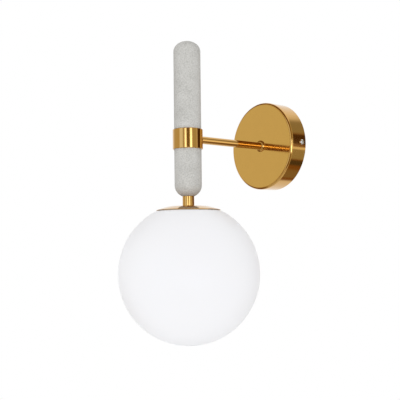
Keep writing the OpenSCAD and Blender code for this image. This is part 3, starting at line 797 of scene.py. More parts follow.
@dataclass(frozen=True)
class Metal(Finish):
    """Bare, plated or lacquered metal with the fine lines of its tool."""

    lay: Lay = Lay.ALL_WAYS
    line_mm: float = 0.5
    depth_mm: float = 0.002
    tone: float = 0.06
    lacquer: float = 0.0
    lacquer_roughness: float = 0.1
    patch_mm: float = 14
    gloss: float = 0.12

    def lined(self, draft: Draft) -> bpy.types.NodeSocket:
        """Coordinates in which noise becomes lines along the lay.

        Args:
            draft: The material under construction.

        Returns:
            The socket with the new coordinates.
        """
        along_line = 0.02
        round_line = 0.03
        if self.lay is Lay.ALL_WAYS:
            return draft.place
        if self.lay is Lay.ALONG_ARM:
            return draft.add(VECTOR, (draft.place, (1, along_line, 1)), operation="MULTIPLY").outputs[0]
        on_arm = self.lay is Lay.ROUND_ARM
        own = draft.add("ShaderNodeMapping", {
            "Vector": draft.place, "Location": (0, 0 if on_arm else -COLUMN_Y * MM, 0),
            "Rotation": (math.pi / 2 if on_arm else 0, 0, 0)})
        across = draft.add(VECTOR, (own, (1, 1, 0)), operation="MULTIPLY")
        radius = draft.add(VECTOR, (across,), operation="LENGTH").outputs["Value"]
        height = draft.add(SPLIT, (own,)).outputs["Z"]
        rings = draft.add(GATHER, (radius, height))
        return draft.add(VECTOR, (own, (round_line,) * 3, rings), operation="MULTIPLY_ADD").outputs[0]

    def draw(self, draft: Draft) -> None:
        """Adds drifting tone, tool lines and the lacquer.

        Args:
            draft: The material under construction.
        """
        draft.set(Metallic=1.0, Coat_Weight=self.lacquer, Coat_Roughness=self.lacquer_roughness)
        self.drift(draft, self.patch_mm, self.tone, self.gloss)
        draft.relief(self.line_mm, self.depth_mm, Vector=self.lined(draft))


@dataclass(frozen=True)
class BrushedFront(Metal):
    """Metal of the wall plate: brushed on its flat front, polished from the front's edge on."""

    edge_mm: float = 58.0
    edge_blend_mm: float = 0.4
    rim_colour: str = "#D2A254"
    rim_roughness: float = 0.09

    def draw(self, draft: Draft) -> None:
        """Adds the metal's pattern, and the change from brushed to polished at the edge.

        Args:
            draft: The material under construction.
        """
        super().draw(draft)
        across = draft.add(VECTOR, (draft.place, (1, 0, 1)), operation="MULTIPLY")
        radius = draft.add(VECTOR, (across,), operation="LENGTH").outputs["Value"]
        rim = draft.add(RANGE, (radius, (self.edge_mm - self.edge_blend_mm) * MM, self.edge_mm * MM))
        colour = draft.add(MIX, {"Factor": rim, COLOUR_A: draft.source("Base Color"),
                                 COLOUR_B: linear(self.rim_colour)}, data_type="RGBA")
        rough = draft.add(MIX, {"Factor": rim, VALUE_A: draft.source("Roughness"),
                                VALUE_B: self.rim_roughness})
        draft.set(Base_Color=colour.outputs[COLOUR_OUT], Roughness=rough)


@dataclass(frozen=True)
class Stone(Finish):
    """Honed fine-grained stone: matt, with small darker and lighter grains."""

    dark: str = "#AEADA9"
    grain_mm: float = 1.6
    pit_mm: float = 0.02
    cloud_mm: float = 16

    def draw(self, draft: Draft) -> None:
        """Adds clouds, grains and the fine pits of the honed face.

        Args:
            draft: The material under construction.
        """
        clouds = draft.add(NOISE, {"Vector": draft.place, "Scale": 1 / (self.cloud_mm * MM), "Detail": 5.0})
        grains = draft.relief(self.grain_mm, self.pit_mm, 3.0, Roughness=0.65)
        soft = draft.add(RANGE, (clouds, 0.3, 0.7, 0.25, 0.0))
        fine = draft.add(RANGE, (grains, 0.62, 0.3, 0.0, 0.6))
        both = draft.add(MATH, (soft, fine), operation="ADD", use_clamp=True)
        mixed = draft.add(MIX, {"Factor": both, COLOUR_A: linear(self.colour), COLOUR_B: linear(self.dark)},
                          data_type="RGBA")
        draft.set(Base_Color=mixed.outputs[COLOUR_OUT], Specular_IOR_Level=0.3)


@dataclass(frozen=True)
class Glass(Finish):
    """Mouth-blown opal glass: white through and through, satin outside, very slightly wavy."""

    depth_mm: float = 3.0
    wave_mm: float = 60
    wave_height_mm: float = 0.1
    gloss: float = 0.1

    def draw(self, draft: Draft) -> None:
        """Lets light spread inside the glass and adds the slow waves of the blown wall.

        Args:
            draft: The material under construction.
        """
        waves = draft.relief(self.wave_mm, self.wave_height_mm, 0.0)
        low, high = self.roughness * (1 - self.gloss), self.roughness * (1 + self.gloss)
        draft.set(IOR=1.5, Diffuse_Roughness=1.0, Specular_IOR_Level=0.3, Subsurface_Weight=0.15,
                  Subsurface_Radius=(1.0, 0.95, 0.9), Subsurface_Scale=self.depth_mm * MM,
                  Roughness=draft.add(RANGE, (waves, 0.0, 1.0, low, high)))


@dataclass(frozen=True)
class Moulded(Finish):
    """Moulded, fired or extruded piece with a faint orange-peel skin."""

    peel_mm: float = 1.2
    depth_mm: float = 0.01
    glaze: float = 0.0
    stripe: str = ""
    stripe_share: float = 0.42
    patch_mm: float = 9

    def draw(self, draft: Draft) -> None:
        """Adds the skin, a glaze and the stripe along a lead's covering.

        Args:
            draft: The material under construction.
        """
        draft.set(Coat_Weight=self.glaze, Coat_Roughness=0.05)
        self.drift(draft, self.patch_mm, 0.04, 0.1)
        if self.stripe:
            around = draft.add("ShaderNodeAttribute", attribute_name="around").outputs["Fac"]
            twice = draft.add(MATH, (around, 2.0), operation="MULTIPLY")
            half = draft.add(MATH, (twice,), operation="FRACT")
            band = draft.add(MATH, (half, self.stripe_share), operation="LESS_THAN")
            striped = draft.add(MIX, {"Factor": band, COLOUR_A: draft.source("Base Color"),
                                      COLOUR_B: linear(self.stripe)}, data_type="RGBA")
            draft.set(Base_Color=striped.outputs[COLOUR_OUT])
        draft.relief(self.peel_mm, self.depth_mm)


# Brass spun over a former, its front brushed and its rim polished, lacquered: soft front, clear rim
PLATE_BRASS = BrushedFront("spun_brushed_brass", "satin_brass", "#E8BC6C", 0.1, Lay.ROUND_ARM, 0.6, 0.0005,
                           lacquer=0.3, lacquer_roughness=0.15)
# Brass tube, drawn and polished lengthwise, lacquered: long clear highlights
ARM_BRASS = Metal("drawn_polished_brass", "satin_brass", "#D2A254", 0.08, Lay.ALONG_ARM, 0.5, 0.0003,
                  lacquer=0.4, lacquer_roughness=0.08)
# Brass turned and polished, lacquered: clear reflections with a trace of the turning
POLISHED_BRASS = Metal("turned_polished_brass", "polished_brass", "#D2A254", 0.09, Lay.ROUND_COLUMN, 0.5,
                       0.0006, lacquer=0.5, lacquer_roughness=0.05)
# Thin brass strip and tube of the electrical pieces, drawn and left bare: a little duller
CONTACT_BRASS = Metal("drawn_bare_brass", "polished_brass", "#C9A45C", 0.24, Lay.ALL_WAYS, 0.8, 0.003)
# Fine-grained grey stone, honed: dead matt with small grains
GREY_STONE = Stone("honed_grey_stone", "stone", "#D6D5D1", 0.75, dark="#A3A29D")
# Opal glass, blown into a mould and etched satin: even milky white
OPAL_GLASS = Glass("blown_opal_glass", "opal_glass", "#F4F4F6", 0.45)
# Cold-rolled steel, bright zinc plated: grey with a cool, cloudy shine
ZINC_STEEL = Metal("zinc_plated_steel", "steel", "#B7BABC", 0.33, Lay.ALL_WAYS, 2.5, 0.004, tone=0.16)
# Steel screws, nickel and chrome plated: bright and nearly neutral
CHROME = Metal("chrome_plated_steel", "chrome", "#DCDDDF", 0.12, Lay.ALL_WAYS, 1.5, 0.001)
# Aluminium turned on a lathe and left bare: pale with fine rings
ALUMINIUM = Metal("turned_aluminium", "aluminium", "#D4D5D7", 0.28, Lay.ROUND_COLUMN, 0.4, 0.003)
# Nylon 6 moulding: milky, slightly waxy
NYLON = Moulded("moulded_nylon", "nylon", "#ECEBE4", 0.45)
# Electrical porcelain, fired with a clear glaze: hard white with a wet shine
PORCELAIN = Moulded("glazed_porcelain", "porcelain", "#F0EEE8", 0.25, 4.0, 0.03, glaze=0.8)
# Polybutylene terephthalate housing of the bulb, moulded: smooth satin white
BULB_WHITE = Moulded("moulded_pbt", "bulb_plastic", "#EDEDEA", 0.38)
# Polycarbonate dome of the bulb, moulded and frosted: soft white
FROSTED = Moulded("frosted_polycarbonate", "bulb_diffuser", "#F2F2EF", 0.55, 0.8, 0.006)
# Silicone rubber, moulded: translucent grey, dull
SILICONE = Moulded("moulded_silicone", "silicone", "#D6D6D2", 0.6)
# Black glass that is fused into a bulb's base: dark and shiny
BLACK_GLASS = Moulded("fused_black_glass", "black_glass", "#242427", 0.12, 3.0, 0.02)
# Solder mask on the bulb's aluminium board, printed: flat white
SOLDER_MASK = Moulded("printed_solder_mask", "bulb_plastic", "#F3F3EE", 0.4, 0.5, 0.002)
# Phosphor cap of a light source, cast silicone: warm yellow, dull
PHOSPHOR = Moulded("cast_phosphor", "bulb_diffuser", "#E9C95C", 0.5, 0.5, 0.002)
# Extruded PVC coverings of the leads: even colour with a low shine
LIVE_PVC = Moulded("extruded_brown_pvc", "live_pvc", "#6B4427", 0.42)
NEUTRAL_PVC = Moulded("extruded_blue_pvc", "neutral_pvc", "#2F63A8", 0.42)
EARTH_PVC = Moulded("extruded_green_pvc", "earth_pvc", "#4E8F3A", 0.42, stripe="#DCCB3C")


def fit(piece: bpy.types.Object, finish: Finish, *nodes: str) -> bpy.types.Object:
    """Dresses a piece and lets it stand for CAD nodes on their body.

    Args:
        piece: The finished mesh object, in place.
        finish: Its finish.
        *nodes: The CAD nodes that it stands for.

    Returns:
        The same object.
    """
    piece.data.materials.clear()
    piece.data.materials.append(finish.material())
    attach(piece, frame["nodes"][nodes[0]]["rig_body"])
    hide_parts(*nodes)
    LOG.info("%s: %d faces, for %s", piece.name, len(piece.data.polygons), ", ".join(nodes))
    return piece


def turned(node: str, how: str, outline: Outline, segments: int, place: Matrix, finish: Finish) -> None:
    """Turns the piece that stands for a CAD node.

    Args:
        node: The CAD node.
        how: How the piece is made, for its name.
        outline: Its closed outline.
        segments: Number of segments round the axis.
        place: From its axis to the shared frame.
        finish: Its finish.
    """
    fit(finish_mesh(lathe(f"{node}_{how}", outline, segments), place), finish, node)


def ease_node(node: str, how: str, width: float, finish: Finish) -> None:
    """Stands in for a CAD node with a welded copy whose edges are eased.

    Args:
        node: The CAD node.
        how: How the piece is made, for its name.
        width: Width of an eased edge.
        finish: Its finish.
    """
    piece = new_piece(f"{node}_{how}", [])
    piece.data = frame["nodes"][node].data.copy()
    fit(finish_mesh(ease(piece, width), AS_DRAWN, EASED_ANGLE), finish, node)


def at_points(name: str, spots: Spots) -> bpy.types.Object:
    """Makes a mesh of loose points, each with a direction.

    Args:
        name: The piece's name.
        spots: Place in millimetres and direction of each point.

    Returns:
        The new object.
    """
    piece = new_piece(name, [spot for spot, _ in spots])
    way = piece.data.attributes.new("direction", "FLOAT_VECTOR", "POINT")
    for value, (_, direction) in zip(way.data, spots):
        value.vector = direction
    return piece


# Sub-assemblies

@dataclass(frozen=True)
class Screw:
    """Slotted screw: radius, height and dome of its head, width of its slot, radius of its shank, pitch."""

    head: float
    height: float
    dome: float
    slot: float
    shank: float
    pitch: float


# Radius of an M4 screw, and the kinds of screw in the light
M4_SHANK = 2.0
RIM_SCREW = Screw(3.5, 2.2, 1.5, 0.9, M4_SHANK, 0.7)
EARTH_SCREW = Screw(3.5, 2.4, 0.3, 0.9, M4_SHANK, 0.7)
BLOCK_SCREW = Screw(2.2, 1.6, 0.3, 0.6, 1.4, 0.5)
CLAMP_SCREW = Screw(2.0, 1.2, 0.2, 0.5, 1.5, 0.5)
HOLDER_SCREW = Screw(3.2, 2.0, 0.3, 0.8, 1.6, 0.7)


@dataclass
class Fasteners:
    """Nuts, washers, slotted screws and drilled holes, which repeat all over the light."""

    nut_chamfer: float = 0.7
    nut_slope: float = 0.6
    nut_sides: int = 6
    nut_segments: int = 96
    nut_pitch: float = 1.0
    nut_thread: float = 0.4
    slot_share: float = 0.45

    def __post_init__(self) -> None:
        """Builds the trees that all fasteners share."""
        self.bar = bar_tree()
        self.thread = thread_tree()
        self.screw = screw_tree(self.bar, self.thread)
        self.bit = drill_tree()

    def drill(self, piece: bpy.types.Object, spots: Spots, radius: float, length: float,
              stretch: float = 0.0) -> None:
        """Drills holes of one size into a closed piece, before its place is applied.

        Args:
            piece: The object.
            spots: Start and direction of each hole.
            radius: Radius of the holes.
            length: Length of the holes from their start.
            stretch: Distance between the ends' centres of a long hole, along X.
        """
        with edited(piece.data) as work:
            bmesh.ops.recalc_face_normals(work, faces=work.faces)
            bore = work.verts.layers.float.new("bore")
            way = work.verts.layers.float_vector.new("direction")
            for start, direction in spots:
                point = work.verts.new(start * MM)
                point[bore], point[way] = 1.0, direction
        self.bit.run(piece, Radius=radius, Length=length, Stretch=stretch)
        for name in ("bore", "direction"):
            if name in piece.data.attributes:
                piece.data.attributes.remove(piece.data.attributes[name])

    def nut(self, node: str, bore: float, place: Matrix) -> None:
        """Makes a hexagon nut with chamfered corners.

        Args:
            node: The CAD node that it stands for.
            bore: Radius of the bore.
            place: From the nut's axis to the shared frame.
        """
        box = Extent.of(node)
        low, high = box.span(place)
        corner = box.radius
        flat = corner * math.cos(math.pi / self.nut_sides)
        piece = lathe(node + "_hex", self.nut_outline(bore, corner, low, high), self.nut_segments)
        step = math.tau / self.nut_sides
        for vertex in piece.data.vertices:
            x, y, _ = vertex.co / MM
            reach = math.hypot(x, y)
            turn = (math.atan2(y, x) + step * 4) % step - step / 2
            limit = flat / math.cos(turn)
            if reach > limit:
                vertex.co.x *= limit / reach
                vertex.co.y *= limit / reach
        self.thread.run(piece, Pitch=self.nut_pitch, Depth=-self.nut_thread, Low=low - 1, High=high + 1,
                        Lead=1, Inner_Radius=bore - 0.1, Outer_Radius=bore + 0.05, Cut=1.0)
        fit(finish_mesh(piece, place, CRISP_ANGLE), ZINC_STEEL, node)

    def nut_outline(self, bore: float, corner: float, low: float, high: float) -> Outline:
        """Outline of a nut before its flats are cut.

        Args:
            bore: Radius of the bore.
            corner: Radius over the corners.
            low: Lower end.
            high: Upper end.

        Returns:
            The outline, with rows in the bore for its thread.
        """
        edge, slope, rows, chords = self.nut_chamfer, self.nut_slope, 24, 6
        inside = [(bore, high - (high - low) * k / rows) for k in range(rows + 1)]
        steps = [(corner - edge * k / chords, edge * (1 - math.sqrt(1 - (k / chords) ** 2)) * slope)
                 for k in range(chords + 1)]
        top = [(r, high - edge * slope + drop) for r, drop in steps]
        foot = [(r, low + edge * slope - drop) for r, drop in reversed(steps)]
        return foot + top + inside

    def washer(self, node: str, bore: float, place: Matrix) -> None:
        """Makes a plain washer with one rolled edge.

        Args:
            node: The CAD node that it stands for.
            bore: Radius of the bore.
            place: From the washer's axis to the shared frame.
        """
        box = Extent.of(node)
        low, high = box.span(place)
        outline = rounded([(bore, low, 0.1), (box.radius, low, 0.35), (box.radius, high, 0.12),
                           (bore, high, 0.1)], 3)
        turned(node, "ring", outline, 72, place, ZINC_STEEL)

    def clamp(self, what: str, bore: float, place: Matrix) -> None:
        """Makes the washer and the nut that clamp one part."""
        self.washer(what + "_washer", bore, place)
        self.nut(what + "_nut", bore, place)

    def screws(self, node: str, spots: Spots, kind: Screw, finish: Finish, length: float, seed: int) -> None:
        """Makes the screws of one node.

        Args:
            node: The CAD node that they stand for.
            spots: Seat and direction of each head.
            kind: Their sizes.
            finish: Their finish.
            length: Length of the shank.
            seed: Seed of the slots' turns.
        """
        piece = at_points(node + "_set", spots)
        self.screw.run(piece, Head_Radius=kind.head, Head_Height=kind.height, Head_Dome=kind.dome,
                       Slot_Width=kind.slot, Slot_Depth=kind.height * self.slot_share,
                       Shank_Radius=kind.shank, Shank_Length=length, Pitch=kind.pitch, Turn=math.pi,
                       Seed=seed, Material=finish.material())
        fit(finish_mesh(piece, AS_DRAWN, CRISP_ANGLE), finish, node)


@dataclass
class WallFitting:
    """Wall plate, bracket, its screws, the terminal strip and the leads."""

    fasteners: Fasteners
    plate_wall: float = 1.2
    plate_edge: float = 3.0
    arm_hole: float = 5.05
    side_screw_y: float = -7.5
    bracket_wall: float = 1.5
    bracket_bend: float = 2.3
    bracket_ease: float = 0.2
    slot_spacing: float = 88.9
    slot_length: float = 14.0
    slot_width: float = 4.6
    earth_x: float = 28.0
    m4_clear: float = 0.3
    seat_gap: float = 0.1
    rim_screw_length: float = 8.0
    clamp_screw_length: float = 5.2
    lead_radius: float = 0.9
    lead_gap: float = 0.3
    lead_bend: float = 3.0
    lead_y: float = -6.7
    lead_start_z: float = 1.0
    lug_z: float = 7.5

    def build(self) -> None:
        """Builds and dresses every piece on the wall."""
        self.plate()
        self.bracket()
        self.screws()
        self.leads()
        ease_node("earth_lug", "crimped", 0.15, CHROME)
        ease_node("terminal_block", "moulded", 0.35, NYLON)
        ease_node("terminal_sleeves", "drawn", 0.1, CONTACT_BRASS)

    def plate(self) -> None:
        """Spun cup with a rounded front edge."""
        box = Extent.of("wall_plate")
        r, depth, wall = box.radius, -box.low.y, self.plate_wall
        outline = rounded([
            (self.arm_hole, depth - wall), (self.arm_hole, depth, 0.2), (r, depth, self.plate_edge),
            (r, 0, 0.25), (r - wall, 0, 0.25), (r - wall, depth - wall, self.plate_edge - wall)], 8)
        shell = lathe("wall_plate_shell", braced(outline), 192)
        inside = r - 3 * wall
        spots = [(Vector((s * inside, 0, -self.side_screw_y)), Vector((s, 0, 0))) for s in SIDES]
        self.fasteners.drill(shell, spots, M4_SHANK + self.m4_clear, 4 * wall)
        fit(finish_mesh(shell, OFF_WALL), PLATE_BRASS, "wall_plate")

    def bracket(self) -> None:
        """Steel strap with a bent ear at each end, long wall slots and tapped holes."""
        box, block = Extent.of("wall_bracket"), Extent.of("block_screw")
        x, ear, wall, bend = box.high.x, -box.low.y, self.bracket_wall, self.bracket_bend
        outline = rounded([
            (-x, ear, 0.3), (-x, 0, bend), (x, 0, bend), (x, ear, 0.3), (x - wall, ear, 0.3),
            (x - wall, wall, bend - wall), (wall - x, wall, bend - wall), (wall - x, ear, 0.3)])
        strap = prism("wall_bracket_bent", outline, box.low.z, box.high.z)
        slots = [(Vector((s * self.slot_spacing / 2, -1, 0)), TO_WALL) for s in SIDES]
        ears = [(Vector((s * (x - wall - 1), -self.side_screw_y, 0)), Vector((s, 0, 0))) for s in SIDES]
        earth, strip = ([(Vector((at, -1, 0)), TO_WALL)] for at in (-self.earth_x, block.middle.x))
        for spots, radius, stretch in ((slots, self.slot_width / 2, self.slot_length - self.slot_width),
                                       (ears, M4_SHANK, 0.0), (earth, M4_SHANK, 0.0),
                                       (strip, BLOCK_SCREW.shank, 0.0)):
            self.fasteners.drill(strap, spots, radius, wall + 2, stretch)
        mirrored = Matrix.Scale(-1, 4, (0, 1, 0))
        strap = ease(strap, self.bracket_ease)
        fit(finish_mesh(strap, mirrored, EASED_ANGLE), ZINC_STEEL, "wall_bracket")

    def screws(self) -> None:
        """Screws in the rim, the earth screw and the strip's screws."""
        rim, clamp = Extent.of("wall_plate").radius, Extent.of("terminal_screws")
        side = [(Vector((s * rim, self.side_screw_y, 0)), Vector((s, 0, 0))) for s in SIDES]
        self.fasteners.screws("plate_screws", side, RIM_SCREW, CHROME, self.rim_screw_length, 3)
        for node, kind, finish, seed in (("earth_screw", EARTH_SCREW, POLISHED_BRASS, 5),
                                         ("block_screw", BLOCK_SCREW, ZINC_STEEL, 7)):
            box = Extent.of(node)
            seat = box.low.y + kind.height
            self.fasteners.screws(node, [(Vector((box.middle.x, seat, 0)), FROM_WALL)], kind, finish,
                                  -seat - self.seat_gap, seed)
        r, seat = CLAMP_SCREW.head, clamp.low.y + CLAMP_SCREW.height
        ways = [clamp.low.x + r + (clamp.high.x - clamp.low.x - 2 * r) * k / 2 for k in range(3)]
        spots = [(Vector((x, seat, z)), FROM_WALL) for x in ways for z in (clamp.low.z + r, clamp.high.z - r)]
        self.fasteners.screws("terminal_screws", spots, CLAMP_SCREW, ZINC_STEEL,
                              self.clamp_screw_length, 11)

    def leads(self) -> None:
        """The three leads along their routes."""
        tree, r, y, start = lead_tree(), self.lead_radius, self.lead_y, self.lead_start_z
        live, neutral, earth = (Extent.of(name + "_lead") for name in ("live", "neutral", "earth"))
        floor = live.low.z + r
        for node, box, side, x_end, finish in (("live_lead", live, -1, live.low.x, LIVE_PVC),
                                               ("neutral_lead", neutral, 1, neutral.high.x, NEUTRAL_PVC)):
            x_way, x_arm, run_z = box.high.x - r, side * (r + self.lead_gap), box.high.z - r
            self.lead(tree, node, [
                (x_way, y, start), (x_way, y, run_z), (x_arm, y, run_z), (x_arm, y, 0),
                (x_arm, COLUMN_Y, 0), (x_arm, COLUMN_Y, floor), (x_end, COLUMN_Y, floor)], finish)
        top, left, right = earth.high.z - r, earth.low.x + r, earth.high.x - r
        self.lead(tree, "earth_lead", [(right, y, start), (right, y, top), (left, y, top),
                                       (left, y, self.lug_z)], EARTH_PVC)

    def lead(self, tree: Tree, node: str, path: Sequence[tuple], finish: Finish) -> None:
        """Makes one lead.

        Args:
            tree: The lead's tree.
            node: The CAD node that it stands for.
            path: Corners of its route.
            finish: Its covering.
        """
        piece = new_piece(node + "_wire", path, edges=[(i, i + 1) for i in range(len(path) - 1)])
        tree.run(piece, Radius=self.lead_radius, Bend=self.lead_bend, Sides=20, Material=finish.material())
        fit(finish_mesh(piece, AS_DRAWN), finish, node)


@dataclass
class Arm:
    """Drawn brass tube with its foot, washer, nut and bush."""

    fasteners: Fasteners
    wall: float = 1.1
    foot_edge: float = 2.7
    bush_wall: float = 0.8
    bush_head: float = 1.0

    def build(self) -> None:
        """Builds and dresses the arm."""
        tube, foot, bush = Extent.of("arm_tube"), Extent.of("arm_flange"), Extent.of("wire_bush")
        r, edge = tube.radius, self.foot_edge
        low, high = tube.span(OFF_WALL)
        outline = rounded([(r - self.wall, low, 0.1), (r, low, 0.3), (r, high, 0.3),
                           (r - self.wall, high, 0.1)])
        turned("arm_tube", "drawn", braced(outline), 72, OFF_WALL, ARM_BRASS)
        low, high = foot.span(OFF_WALL)
        dome = arc((foot.radius - edge, high - edge), edge, 0, 90, 16)
        outline = [(r + CLEAR, low), (foot.radius, low), *dome, (r + CLEAR, high)]
        # The foot is named for its place on the arm, not for its node
        piece = lathe("arm_foot_turned", braced(outline), 96)
        fit(finish_mesh(piece, OFF_WALL), ARM_BRASS, "arm_flange")
        self.fasteners.clamp("arm", r + CLEAR, OFF_WALL)
        low, high = bush.span(OFF_WALL)
        sleeve = r - self.wall - CLEAR
        inner, head = sleeve - self.bush_wall, low + self.bush_head
        outline = rounded([(inner, low, 0.3), (r, low, 0.3), (r, head, 0.15), (sleeve, head),
                           (sleeve, high, 0.1), (inner, high, 0.1)], 3)
        turned("wire_bush", "moulded", outline, 48, OFF_WALL, NYLON)


@dataclass
class Column:
    """Two stones on a rod in a brass collar, with their pads, nut and neck."""

    fasteners: Fasteners
    web_half: float = 8.25
    collar_wall: float = 1.75
    collar_edge: float = 0.5
    rod_bore: float = 3.5
    rod_chamfer: float = 0.5
    rod_row: float = 0.2
    stud_above_nut: float = 4.0
    wire_hole: float = 2.7
    hole_clear: float = 0.3
    stone_ease: float = 0.8
    top_dome: float = 13.4
    foot_dome: float = 15.6
    foot_radius: float = 8.0
    stud_depth: float = 45.0
    pocket: float = 9.6
    pocket_depth: float = 7.2
    countersink: float = 0.4
    pad_height: float = 0.8
    neck_edge: float = 0.4

    def build(self) -> None:
        """Builds and dresses the column from top to bottom."""
        self.stones()
        self.pads()
        self.collar()
        self.rod()
        self.fasteners.clamp("rod", ROD_HOLE, ON_COLUMN)
        self.neck()

    def stones(self) -> None:
        """The upper stone, and the lower one which is the same form upside down and ground flat."""
        tree = stone_tree(self.fasteners.bar)
        hole = ROD + self.hole_clear
        upper, lower = Extent.of("upper_stone"), Extent.of("lower_stone")
        end = math.acos(self.foot_radius / lower.radius)
        top = {"Radius": upper.radius, "Foot": upper.low.z, "Shoulder": upper.high.z - self.top_dome,
               "Dome": self.top_dome, "End_Angle": math.pi / 2, "Bore_Depth": self.stud_depth,
               "Pocket": self.pocket, "Pocket_Depth": self.pocket_depth}
        foot = {"Radius": lower.radius, "Foot": -lower.high.z,
                "Shoulder": -lower.low.z - self.foot_dome * math.sin(end), "Dome": self.foot_dome,
                "End_Angle": end, "Bore_Depth": lower.high.z - lower.low.z + 1,
                "Pocket": hole + self.countersink, "Pocket_Depth": self.countersink}
        for node, sizes, place in (("upper_stone", top, ON_COLUMN), ("lower_stone", foot, UNDER_COLUMN)):
            piece = new_piece(node + "_honed", [(0, 0, 0)])
            tree.run(piece, Ease=self.stone_ease, Bore=hole, Segments=161, Overrun=1,
                     Material=GREY_STONE.material(), **sizes)
            fit(finish_mesh(piece, place), GREY_STONE, node)

    def pads(self) -> None:
        """Two soft rings between the collar's web and the stones."""
        box = Extent.of("stone_pads")
        inner, r, thick = self.pocket, box.radius, self.pad_height
        rings = [lathe("pad", rounded([(inner, low, 0.1), (r, low, 0.25), (r, low + thick, 0.25),
                                       (inner, low + thick, 0.1)], 3), 72)
                 for low in (box.high.z - thick, box.low.z)]
        join("stone_pads_pair", rings, ON_COLUMN, SILICONE, "stone_pads")

    def collar(self) -> None:
        """Turned ring with the web that carries both stones."""
        box, web = Extent.of("collar"), self.web_half
        inner = box.radius - self.collar_wall
        low, high, edge = box.low.z, box.high.z, self.collar_edge
        outline = rounded([
            (ROD_HOLE, -web), (inner, -web), (inner, low, 0.25), (box.radius, low, edge),
            (box.radius, high, edge), (inner, high, 0.25), (inner, web), (ROD_HOLE, web)], 4)
        ring = lathe("collar_turned", braced(outline), 144)
        arm = Extent.of("arm_tube").radius + CLEAR
        self.fasteners.drill(ring, [(Vector((0, 0, 0)), TO_WALL)], arm, box.radius + 1)
        fit(finish_mesh(ring, ON_COLUMN), POLISHED_BRASS, "collar")

    def rod(self) -> None:
        """Hollow rod, threaded at both ends where its nuts sit."""
        box = Extent.of("centre_rod")
        r, low, high, edge, step = box.radius, box.low.z, box.high.z, self.rod_chamfer, self.rod_row
        cap_foot, stud = Extent.of("cap").high.z, Extent.of("rod_nut").high.z + self.stud_above_nut
        rows = [low + edge + step * k for k in range(int((cap_foot - low) / step))]
        rows += [self.web_half + step * k for k in range(int((stud - self.web_half) / step))]
        outline = [(self.rod_bore, high), (self.rod_bore, low), (r - edge, low), (r, low + edge)]
        outline += [(r, z) for z in rows] + [(r, high - edge), (r - edge, high)]
        piece = lathe("centre_rod_threaded", outline, 40)
        for start, end in ((low, cap_foot), (self.web_half, stud)):
            self.fasteners.thread.run(piece, Pitch=1, Depth=0.55, Low=start, High=end, Lead=0.8,
                                      Inner_Radius=r - 0.1, Outer_Radius=r + 0.1, Cut=1.0)
        self.fasteners.drill(piece, [(Vector((0, 0, 0)), TO_WALL)], self.wire_hole, r + 1)
        fit(finish_mesh(piece, ON_COLUMN), ZINC_STEEL, "centre_rod")

    def neck(self) -> None:
        """Turned brass tube between the lower stone and the cap."""
        box, edge = Extent.of("neck"), self.neck_edge
        outline = rounded([(ROD_HOLE, box.low.z), (box.radius, box.low.z, edge),
                           (box.radius, box.high.z, edge), (ROD_HOLE, box.high.z)])
        turned("neck", "turned", braced(outline), 96, ON_COLUMN, POLISHED_BRASS)


def join(name: str, parts: Sequence[bpy.types.Object], place: Matrix, finish: Finish, *nodes: str) -> None:
    """Joins loose solids of one node into one piece.

    Args:
        name: The joined piece's name.
        parts: Its solids, about their own axis.
        place: From that axis to the shared frame.
        finish: Its finish.
        *nodes: The CAD nodes that it stands for.
    """
    work = bmesh.new()
    for part in parts:
        work.from_mesh(part.data)
        bpy.data.objects.remove(part)
    whole = new_piece(name, [])
    work.to_mesh(whole.data)
    work.free()
    fit(finish_mesh(whole, place), finish, *nodes)


